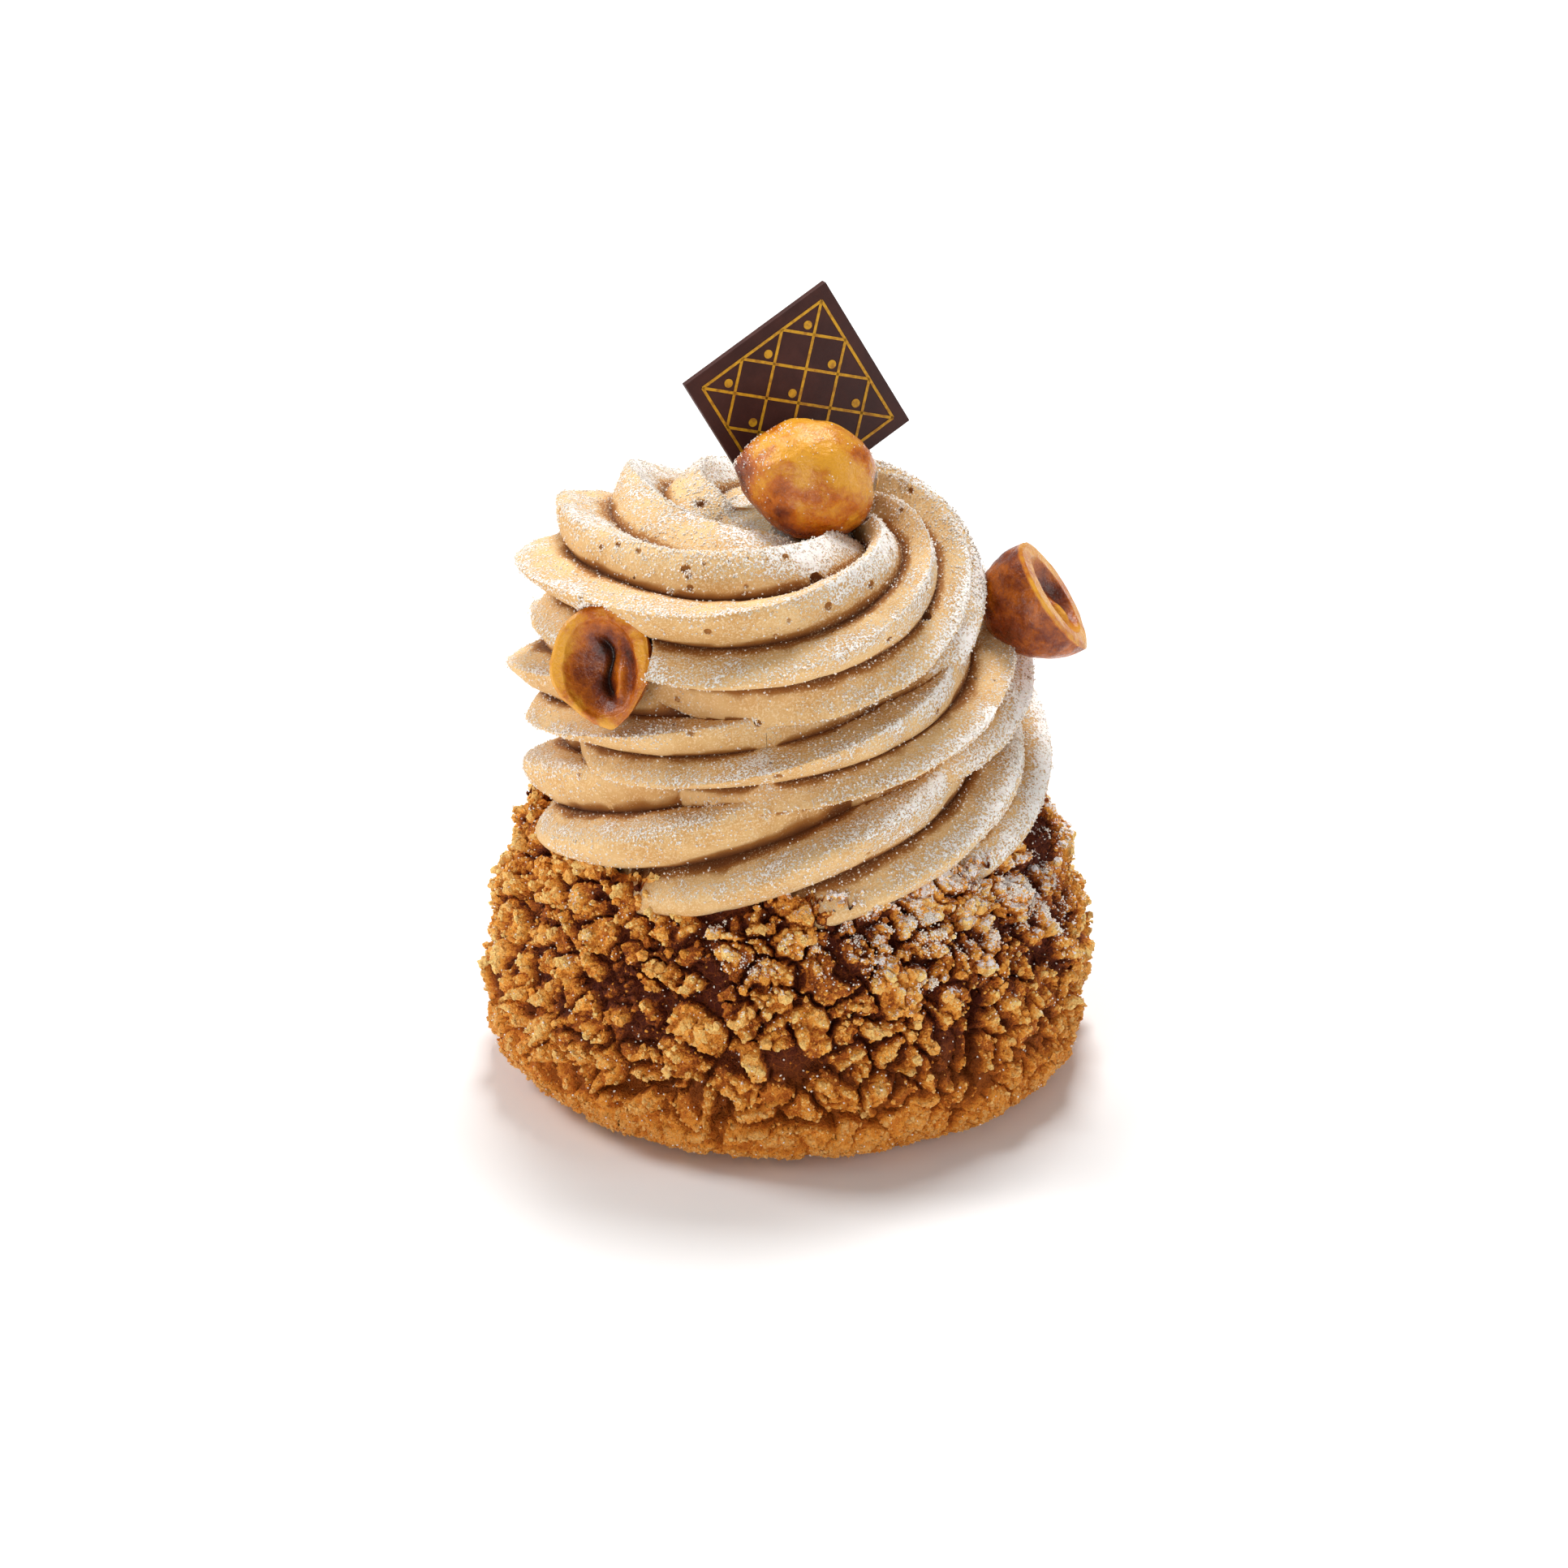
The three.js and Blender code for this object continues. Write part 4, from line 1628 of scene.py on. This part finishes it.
@dataclass
class Hazelnut:
    """A caramelised hazelnut along X, with its broad scarred end at +X.

    Centre, axis and normal place it, and press is how many times deeper than itself it
    presses into the cream on the side that its normal points to.
    """

    name: str
    node: str
    length: float
    width: float
    centre: tuple
    axis: tuple
    normal: tuple
    bluntness: float = 0.62
    scar_shift: float = 0.9
    facet_count: int = 3
    facet_height: float = 0.035
    swell_size: float = 4.5
    swell_height: float = 0.55
    grain_size: float = 1.3
    grain_height: float = 0.16
    seam_angle: float = 4.55
    seam_width: float = 0.05
    seam_depth: float = 0.03
    press: float = 1.0
    socket_gap: float = 0.3
    sharp_degrees: float = 60.0
    columns: int = 120
    rows: int = 96
    socket_columns: int = 60
    socket_rows: int = 40
    seed: int = 1

    def girth(self, v: np.ndarray) -> np.ndarray:
        """Gives the nut's radius along its length.

        Args:
            v: 0 at the scar and 1 at the tip.

        Returns:
            The radius in millimetres.
        """
        v = np.clip(v, 0, 1)
        swell = np.maximum(np.sin(math.pi * v**self.scar_shift), 0)
        return self.width / 2 * swell ** (self.bluntness * (0.82 + 0.4 * v))

    def placed(self, local: np.ndarray) -> np.ndarray:
        """Moves points from the nut's own axes to their place on the cream."""
        centre, axes = placement(self.centre, self.axis, self.normal)
        return local @ axes + centre

    def roughened(self, local: np.ndarray) -> np.ndarray:
        """Makes the skin uneven.

        Args:
            local: points in the nut's own axes, shape (rows, columns, 3).

        Returns:
            The moved points.
        """
        flat = local.reshape(-1, 3)
        bump = rough_noise(flat, self.swell_size, self.seed) * self.swell_height
        bump += rough_noise(flat, self.grain_size, seed=9) * self.grain_height
        scale = 1 + bump.reshape(local.shape[:2]) * 2 / self.width
        return local * scale[..., None]

    def socket(self) -> bpy.types.Object:
        """Builds the whole nut's form, a little larger, to press into the cream.

        Returns:
            A closed object.
        """
        v = (0.5 - 0.5 * np.cos(np.linspace(0, math.pi, self.socket_rows)))[:, None]
        angle = np.linspace(0, TURN, self.socket_columns + 1)[None, :]
        angle[0, -1] = 0
        facet = 1 + self.facet_height * np.cos(self.facet_count * angle)
        out = (self.girth(v) + self.socket_gap) * facet
        out[0] = out[-1] = 0
        along = (0.5 - v) * (self.length + 2 * self.socket_gap) + 0 * angle
        way = out * np.cos(angle)
        way = np.where(way > 0, way * self.press, way)
        return skin("socket", self.placed(np.stack([along, out * np.sin(angle), way], -1)))

    def form(self) -> tuple[np.ndarray, np.ndarray, np.ndarray]:
        """Shapes the nut in its own axes.

        Returns:
            Its points in rows and columns, how dark each is, and how roasted, with painted
            shade below.
        """
        v = (0.5 - 0.5 * np.cos(np.linspace(0, math.pi, self.rows)))[:, None]
        angle = np.linspace(0, TURN, self.columns + 1)[None, :]
        facet = 1 + self.facet_height * np.cos(self.facet_count * angle)
        out = self.girth(v) * facet
        out[0] = out[-1] = 0
        along = (0.5 - v) * self.length + 0 * angle
        seam = np.exp(-((angle - self.seam_angle) / self.seam_width) ** 2)
        seam = seam * ramp(0.7 - v, 0, 0.5)
        out = out * (1 - self.seam_depth * seam)
        local = np.stack([along, out * np.sin(angle), out * np.cos(angle)], -1)
        local[:, -1] = local[:, 0]
        local = self.roughened(local)
        flat = local.reshape(-1, 3)
        scar = np.hypot(local[..., 1] / 2.2, (local[..., 2] - 1.0) / 1.5)
        scar = scar + rough_noise(flat, lump=1.6, seed=self.seed + 5).reshape(scar.shape) * 1.2
        scar_and_shade = 0.8 * (1 - ramp(scar, 0.4, 1.0)) * (v < 0.3)
        patches = rough_noise(flat, lump=5, seed=self.seed + 3).reshape(scar_and_shade.shape)
        roast_and_shade = 0.2 + patches * 0.9
        # Painted shade: browner on the lower half towards the tip, and on the underside.
        shaded_lower_left = ramp(v, 0.3, 0.75) * ramp(-local[..., 2], -6, 1)
        roast_and_shade = roast_and_shade + 0.42 * shaded_lower_left + 0.4 * ramp(-local[..., 2], -1, 6)
        return local, scar_and_shade, roast_and_shade

    def build(self) -> bpy.types.Object:
        """Builds and dresses the nut.

        Returns:
            The nut.
        """
        local, scar_and_shade, roast_and_shade = self.form()
        nut = skin(self.name, self.placed(local), {
            "scar_and_shade": scar_and_shade, "roast_and_shade": np.clip(roast_and_shade, 0, 1)})
        shade_smooth(nut.data, self.sharp_degrees)
        dress(nut, NutFinish("caramel_" + self.node), Slot.HAZELNUT, self.node)
        return nut


@dataclass
class HalfHazelnut(Hazelnut):
    """Half a hazelnut: its cut face looks along Z, with a rim round a hollow with painted
    shade.

    The slit and the fold run along the hollow, at places that are parts of its half width.
    """

    hollow_length: float = 0.8
    hollow_width: float = 0.74
    hollow_depth: float = 0.42
    slit_place: float = -0.05
    slit_sway: float = 0.12
    slit_width: float = 0.1
    fold_place: float = -0.42
    fold_lean: float = 0.1
    fold_width: float = 0.2
    rim_round: float = 0.25
    fullness: float = 1.0
    back_browned: float = 0.42
    sharp_degrees: float = 50.0
    face_rows: int = 60

    def form(self) -> tuple[np.ndarray, np.ndarray, np.ndarray]:
        """Shapes the half nut in its own axes: the cut face, then the back.

        Returns:
            Its points in rows and columns, how dark each is with painted shade, and how roasted
            with painted shade in the hollow.
        """
        angle = np.linspace(0, TURN, self.columns + 1)[None, :]
        v = 0.5 - 0.5 * np.cos(angle)
        rim_x = (0.5 - v) * self.length
        rim_y = self.girth(v) * np.sign(np.sin(angle))
        reach = np.linspace(0, 1, self.face_rows)[:, None]
        x = reach * rim_x
        y = reach * rim_y
        a = self.length / 2 * self.hollow_length
        b = self.width / 2 * self.hollow_width
        inside = np.hypot(x / a, y / b)
        bowl = np.clip(1 - inside**2, 0, 1)
        cleft = (y / b - self.slit_place + self.slit_sway * np.sin(x)) / self.slit_width
        slit = np.exp(-cleft**2) * ramp(0.75 - inside, 0, 0.3)
        fold = (y / b - self.fold_place + self.fold_lean * x / a) / self.fold_width
        ridge = np.exp(-fold**2) * ramp(0.95 - inside, 0, 0.4) * ramp(-x / a, -0.35, 0.3)
        depth = self.width / 2 * self.hollow_depth
        z = -depth * (0.85 * bowl**0.8 + 0.35 * slit - 0.45 * ridge)
        z = z - self.rim_round * ramp(reach, 0.9, 1.0) ** 2
        face = np.stack([x, y, z], -1)
        turn = np.linspace(0, math.pi / 2, self.rows // 2)[1:, None]
        shrink = np.cos(turn)
        back_x = shrink * rim_x
        back_y = shrink * rim_y
        girth = self.girth(0.5 - back_x / self.length)
        back_z = -np.sqrt(np.maximum(girth**2 - back_y**2, 0)) * self.fullness
        back_z[-1] = -self.girth(np.array(0.5)) * self.fullness
        back_z = back_z - self.rim_round * (1 - np.sin(turn)) ** 4
        back = np.stack([back_x, back_y, back_z], -1)
        local = np.concatenate([face, back])
        local[:, -1] = local[:, 0]
        # Painted shade: the slit and the bottom of the bowl are dark and the hollow is browner
        # than the rim; its far wall is browner still and the fold paler.
        far_wall = ramp(-y / b, 0.45, 0.8) * ramp(1.15 - inside, 0, 0.3)
        dark = np.concatenate([
            np.clip(0.9 * slit + 0.2 * bowl**3 * (1 - ridge), 0, 1), np.zeros_like(back_x)])
        wall = 0.14 + 0.46 * ramp(1.1 - inside, 0, 0.5) + 0.35 * far_wall - 0.5 * ridge
        wall = np.concatenate([wall, self.back_browned + 0 * back_x])
        flat = local.reshape(-1, 3)
        patches = rough_noise(flat, lump=4, seed=self.seed + 3).reshape(wall.shape)
        roast_and_shade = wall + patches * 0.5
        return self.roughened(local), dark, roast_and_shade


# ------------------------------------------------------------------ the chocolate square


@dataclass
class ChocolatePlaque:
    """A thin square of dark chocolate that stands on one corner behind the top nut."""

    side: float = 19.5
    thickness: float = 1.0
    edge_round: float = 0.12
    centre: tuple = (1, 4.5, 77)
    yaw: float = 22.0
    lean: float = 6.0
    roll: float = 29.0
    line: float = 0.32
    print_height: float = 0.04
    margin: float = 1.5
    dot_radius: float = 0.5

    def pose(self) -> Matrix:
        """Works out where the square stands.

        Returns:
            Its place and turn, in metres.
        """
        turn = (Matrix.Rotation(math.radians(self.yaw), 4, "Z")
                @ Matrix.Rotation(math.radians(90 - self.lean), 4, "X")
                @ Matrix.Rotation(math.radians(self.roll), 4, "Z"))
        return Matrix.Translation(Vector(self.centre) * MM) @ turn

    def slab(self) -> bpy.types.Object:
        """Builds the slab, with its edges rounded.

        Returns:
            The slab.
        """
        bm = bmesh.new()
        bmesh.ops.create_cube(bm, size=1)
        bmesh.ops.scale(
            bm, vec=(self.side * MM, self.side * MM, self.thickness * MM), verts=bm.verts)
        bmesh.ops.bevel(
            bm, geom=bm.edges[:], offset=self.edge_round * MM, offset_type="OFFSET",
            segments=3, profile=0.5, affect="EDGES", material=-1)
        bmesh.ops.transform(bm, matrix=self.pose(), verts=bm.verts)
        slab = bmesh_object("chocolate_square", bm)
        shade_smooth(slab.data, sharp_degrees=30)
        return slab

    def stroke(self, bm: bmesh.types.BMesh, start: tuple, end: tuple) -> None:
        """Prints one straight line.

        Args:
            bm: the print so far.
            start: the line's start on the slab's face, in millimetres.
            end: its end.
        """
        run = Vector((end[0] - start[0], end[1] - start[1], 0))
        middle = Vector(((start[0] + end[0]) / 2, (start[1] + end[1]) / 2,
                         self.thickness / 2 + self.print_height / 2))
        made = bmesh.ops.create_cube(bm, size=1)["verts"]
        size = (run.length * MM, self.line * MM, self.print_height * MM)
        bmesh.ops.scale(bm, vec=size, verts=made)
        turn = Matrix.Rotation(math.atan2(run.y, run.x), 4, "Z")
        bmesh.ops.transform(bm, matrix=Matrix.Translation(middle * MM) @ turn, verts=made)

    def design(self) -> bpy.types.Object:
        """Prints a plain border, and a lattice of lozenges with dots in it.

        Returns:
            The print.
        """
        bm = bmesh.new()
        edge = self.side / 2 - self.margin
        border = [(-edge, -edge), (edge, -edge), (edge, edge), (-edge, edge)]
        for start, end in zip(border, border[1:] + border[:1]):
            self.stroke(bm, start, end)
        step = 2 * edge / 3
        for k in range(1, 6):
            low, high = max(0, k - 3), min(k, 3)
            a = (-edge + low * step, -edge + (k - low) * step)
            b = (-edge + high * step, -edge + (k - high) * step)
            self.stroke(bm, a, b)
            self.stroke(bm, (-a[0], a[1]), (-b[0], b[1]))
        for column in range(3):
            for row in range(3):
                made = bmesh.ops.create_circle(
                    bm, cap_ends=True, segments=20, radius=self.dot_radius * MM)
                place = Vector(((column - 1) * step, (row - 1) * step + step / 4,
                                self.thickness / 2 + self.print_height))
                bmesh.ops.translate(bm, vec=place * MM, verts=made["verts"])
        bmesh.ops.transform(bm, matrix=self.pose(), verts=bm.verts)
        return bmesh_object("gold_print", bm)

    def build(self) -> None:
        """Builds and dresses the slab and its print."""
        dress(self.slab(), ChocolateFinish(), Slot.CHOCOLATE, "chocolate_plaque")
        dress(self.design(), GoldFinish(), Slot.GOLD)


# ------------------------------------------------------------------ the sugar


@dataclass
class SugarGrains:
    """Grains of sugar that lie on one piece, in millimetres."""

    name: str
    count: int
    smallest: float
    largest: float
    seed: int
    patch_size: float
    patch_seed: int
    squash: tuple = (0.7, 1.2)
    drift: float = 0.22
    proud: float = 0.2

    def weight(self, mesh: bpy.types.Mesh) -> np.ndarray:
        """Says how likely a grain is at each corner of a mesh."""
        raise NotImplementedError

    def build(self, ground: bpy.types.Object) -> None:
        """Scatters the grains and dresses them.

        Args:
            ground: the piece that they lie on.
        """
        weight = self.weight(ground.data)
        dice = np.random.default_rng(self.seed)
        corners, normals = corners_of(ground.data), normals_of(ground.data)
        chosen = dice.choice(len(corners), self.count, p=weight / weight.sum())
        unit = bmesh.new()
        bmesh.ops.create_uvsphere(unit, u_segments=4, v_segments=2, radius=1)
        grains, each = scatter(self.name, unit, self.count)
        shape = corners_of(grains.data).reshape(self.count, each, 3) * MM
        size = dice.uniform(self.smallest, self.largest, self.count) / 2
        shape = tumbled(dice, shape, size, self.squash)
        slide = dice.normal(0, self.drift, (self.count, 3))
        slide -= (slide * normals[chosen]).sum(axis=1)[:, None] * normals[chosen]
        centre = corners[chosen] + slide + normals[chosen] * (self.proud * size)[:, None]
        settle(grains, shape, centre)
        dress(grains, SugarFinish(), Slot.SUGAR)


@dataclass
class SugarOnCream(SugarGrains):
    """Sugar on the cream: most on its crests and on what looks up."""

    name: str = "sugar_on_cream"
    count: int = 24000
    smallest: float = 0.16
    largest: float = 0.34
    seed: int = 61
    patch_size: float = 5.0
    patch_seed: int = 71
    lowest: float = 32.0
    bare_radius: float = 5.0

    def weight(self, mesh: bpy.types.Mesh) -> np.ndarray:
        """Says how likely a grain is at each corner of the cream.

        Args:
            mesh: the finished cream, with its mark hollow.

        Returns:
            One weight for each corner.
        """
        corners, normals = corners_of(mesh), normals_of(mesh)
        crest = 1 - read_mark(mesh, "hollow")
        shown = corners[:, 2] > self.lowest
        shown = shown & (np.hypot(corners[:, 0], corners[:, 1]) > self.bare_radius)
        weight = shown * (0.25 + ramp(normals[:, 2], -0.2, 0.8) + 2.0 * ramp(crest, 0.55, 0.9))
        patches = rough_noise(corners, self.patch_size, self.patch_seed)
        return weight * (0.5 + ramp(patches, -0.1, 0.3))


@dataclass
class SugarOnCrust(SugarGrains):
    """Sugar on the crust, where the powder fell."""

    name: str = "sugar_on_crust"
    count: int = 9000
    smallest: float = 0.14
    largest: float = 0.34
    seed: int = 62
    patch_size: float = 1.8
    patch_seed: int = 75
    bare_radius: float = 26.0

    def weight(self, mesh: bpy.types.Mesh) -> np.ndarray:
        """Says how likely a grain is at each corner of the crust.

        Args:
            mesh: the finished crust, with its marks lift and powder.

        Returns:
            One weight for each corner.
        """
        corners, normals = corners_of(mesh), normals_of(mesh)
        powder = read_mark(mesh, "powder")
        open_side = np.hypot(corners[:, 0], corners[:, 1]) > self.bare_radius
        patches = rough_noise(corners, self.patch_size, self.patch_seed)
        cluster = ramp(patches, 0.02, 0.3) * read_mark(mesh, "lift")
        weight = open_side * (0.004 + cluster * ramp(powder, 0.15, 0.9))
        return weight * (0.3 + ramp(normals[:, 2], -0.2, 0.8))


@dataclass
class SugarOnNut(SugarGrains):
    """A little sugar on the upper left of the top nut."""

    name: str = "sugar_on_nut"
    count: int = 500
    smallest: float = 0.1
    largest: float = 0.26
    seed: int = 63
    patch_size: float = 3.0
    patch_seed: int = 73

    def weight(self, mesh: bpy.types.Mesh) -> np.ndarray:
        """Says how likely a grain is at each corner of the nut.

        Args:
            mesh: the finished nut.

        Returns:
            One weight for each corner.
        """
        corners, normals = corners_of(mesh), normals_of(mesh)
        weight = 0.1 + ramp(normals[:, 2], 0, 0.8) * ramp(-corners[:, 0], -6, 4)
        patches = rough_noise(corners, self.patch_size, self.patch_seed)
        return weight * (0.2 + ramp(patches, 0.0, 0.3))


# ------------------------------------------------------------------ the studio


@dataclass(frozen=True)
class Lamp:
    """A soft square lamp that looks at the pastry, in millimetres and watts."""

    name: str
    place: tuple
    side: float
    power: float


# The key and front lamps stand at the left, and the top one draws the floor white.
LAMPS = (
    Lamp("key", (-820, 230, 700), 400, 6.4),
    Lamp("front", (-420, -1050, 170), 360, 3.8),
    Lamp("fill", (900, -200, 260), 360, 2.2),
    Lamp("top", (60, 380, 1080), 360, 11),
)


@dataclass
class Studio:
    """A pale floor, soft light and the camera at the photograph's angle."""

    elevation: float = 24.0
    distance: float = 700.0
    target: tuple = (-0.4, 0.0, 32.8)
    image_pixels: int = 1932
    pixels_per_mm: float = 10.93
    sensor: float = 36.0
    floor_side: float = 6000.0
    floor_tone: tuple = colour(249, 249, 249)
    sky: tuple = (1.0, 1.0, 1.0, 1.0)
    sky_strength: float = 0.27

    def directions(self) -> tuple[Vector, Vector]:
        """Works out how the camera is held.

        Returns:
            The direction from the pastry back to the camera, and the picture's own up.
        """
        tilt = math.radians(self.elevation)
        back = Vector((0, -math.cos(tilt), math.sin(tilt)))
        up = Vector((0, math.sin(tilt), math.cos(tilt)))
        return back, up

    def camera(self) -> None:
        """Sets up the camera from the photograph's angle and scale."""
        lens = bpy.data.cameras.new("camera")
        lens.sensor_width = self.sensor
        lens.sensor_height = self.sensor
        lens.sensor_fit = "HORIZONTAL"
        lens.lens = self.pixels_per_mm * self.distance * self.sensor / self.image_pixels
        lens.clip_start = 0.01
        eye = bpy.data.objects.new("camera", lens)
        bpy.context.scene.collection.objects.link(eye)
        back, _ = self.directions()
        eye.location = (Vector(self.target) + back * self.distance) * MM
        eye.rotation_euler = (math.pi / 2 - math.radians(self.elevation), 0, 0)
        bpy.context.scene.camera = eye

    def seen(self, body: bpy.types.Object, pixels: list) -> tuple[np.ndarray, np.ndarray]:
        """Finds the places on a body that stand at given pixels of the photograph.

        Args:
            body: the body that is looked at.
            pixels: pairs of x and y, from the photograph's upper left corner.

        Returns:
            For each pixel, the place in millimetres and the direction it faces.
        """
        bm = bmesh.new()
        bm.from_mesh(body.data)
        tree = BVHTree.FromBMesh(bm)
        bm.free()
        back, up = self.directions()
        aim = Vector(self.target)
        eye = aim + back * self.distance
        places, facing = [], []
        for x, y in pixels:
            right = (x - self.image_pixels / 2) / self.pixels_per_mm
            rise = (self.image_pixels / 2 - y) / self.pixels_per_mm
            ray = aim + Vector((right, 0, 0)) + up * rise - eye
            place, normal, _, _ = tree.ray_cast(eye * MM, ray)
            if place is None:
                raise ValueError(f"pixel {x}, {y} does not show {body.name}")
            places.append(place / MM)
            facing.append(normal)
        return np.array(places), np.array(facing)

    def hang(self, lamp: Lamp) -> None:
        """Adds one lamp.

        Args:
            lamp: the lamp's place, side and power.
        """
        data = bpy.data.lights.new(lamp.name, "AREA")
        data.shape = "SQUARE"
        data.size = lamp.side * MM
        data.energy = lamp.power
        hung = bpy.data.objects.new(lamp.name, data)
        bpy.context.scene.collection.objects.link(hung)
        hung.location = Vector(lamp.place) * MM
        towards = (Vector(self.target) - Vector(lamp.place)).normalized()
        hung.rotation_euler = towards.to_track_quat("-Z", "Y").to_euler()

    def floor(self) -> None:
        """Lays a plain pale floor."""
        bm = bmesh.new()
        bmesh.ops.create_grid(bm, x_segments=2, y_segments=2, size=self.floor_side / 2 * MM)
        ground = bmesh_object("floor", bm)
        shader = Shader("pale_floor")
        shader.set(Base_Color=self.floor_tone, Roughness=0.6)
        ground.data.materials.append(shader.material)

    def build(self) -> None:
        """Builds the studio."""
        self.camera()
        self.floor()
        for lamp in LAMPS:
            self.hang(lamp)
        self.light_sky()
        bpy.context.scene.view_settings.view_transform = "Standard"
        log.info("studio ready")

    def light_sky(self) -> None:
        """Gives the scene an even pale sky."""
        world = bpy.data.worlds.new("sky")
        world.use_nodes = True
        background = world.node_tree.nodes["Background"]
        background.inputs["Color"].default_value = self.sky
        background.inputs["Strength"].default_value = self.sky_strength
        bpy.context.scene.world = world


# ------------------------------------------------------------------ the whole pastry


def main() -> None:
    """Builds the pastry piece by piece."""
    logging.basicConfig(level=logging.INFO, format="%(name)s: %(message)s")
    studio = Studio()
    studio.build()
    crust = Bun().build()
    nuts = [
        Hazelnut(
            "whole_hazelnut", "hazelnut_whole", length=16, width=13.4,
            centre=(2, -5, 71.8), axis=(0.97, -0.2, 0.06), normal=(0.1, -0.4, 0.9),
            bluntness=0.56, seed=2),
        HalfHazelnut(
            "left_half_hazelnut", "hazelnut_half_left", length=13.4, width=11.8,
            centre=(-20.2, -23, 56.7), axis=(-0.2, 0.4, 0.9), normal=(-0.34, -0.86, 0.38),
            press=2.2, seed=4),
        HalfHazelnut(
            "right_half_hazelnut", "hazelnut_half_right", length=14, width=12.8,
            centre=(29.7, -3, 57), axis=(-0.5, 0.34, 0.8), normal=(0.82, -0.07, 0.57),
            press=2.2, fullness=1.35, back_browned=0.56, bluntness=0.48,
            hollow_width=0.6, hollow_length=0.72, seed=6),
    ]
    cream = PipedCream().build(nuts, studio)
    built_nuts = [nut.build() for nut in nuts]
    ChocolatePlaque().build()
    SugarOnCream().build(cream)
    SugarOnCrust().build(crust)
    SugarOnNut().build(built_nuts[0])


if __name__ == "__main__":
    main()
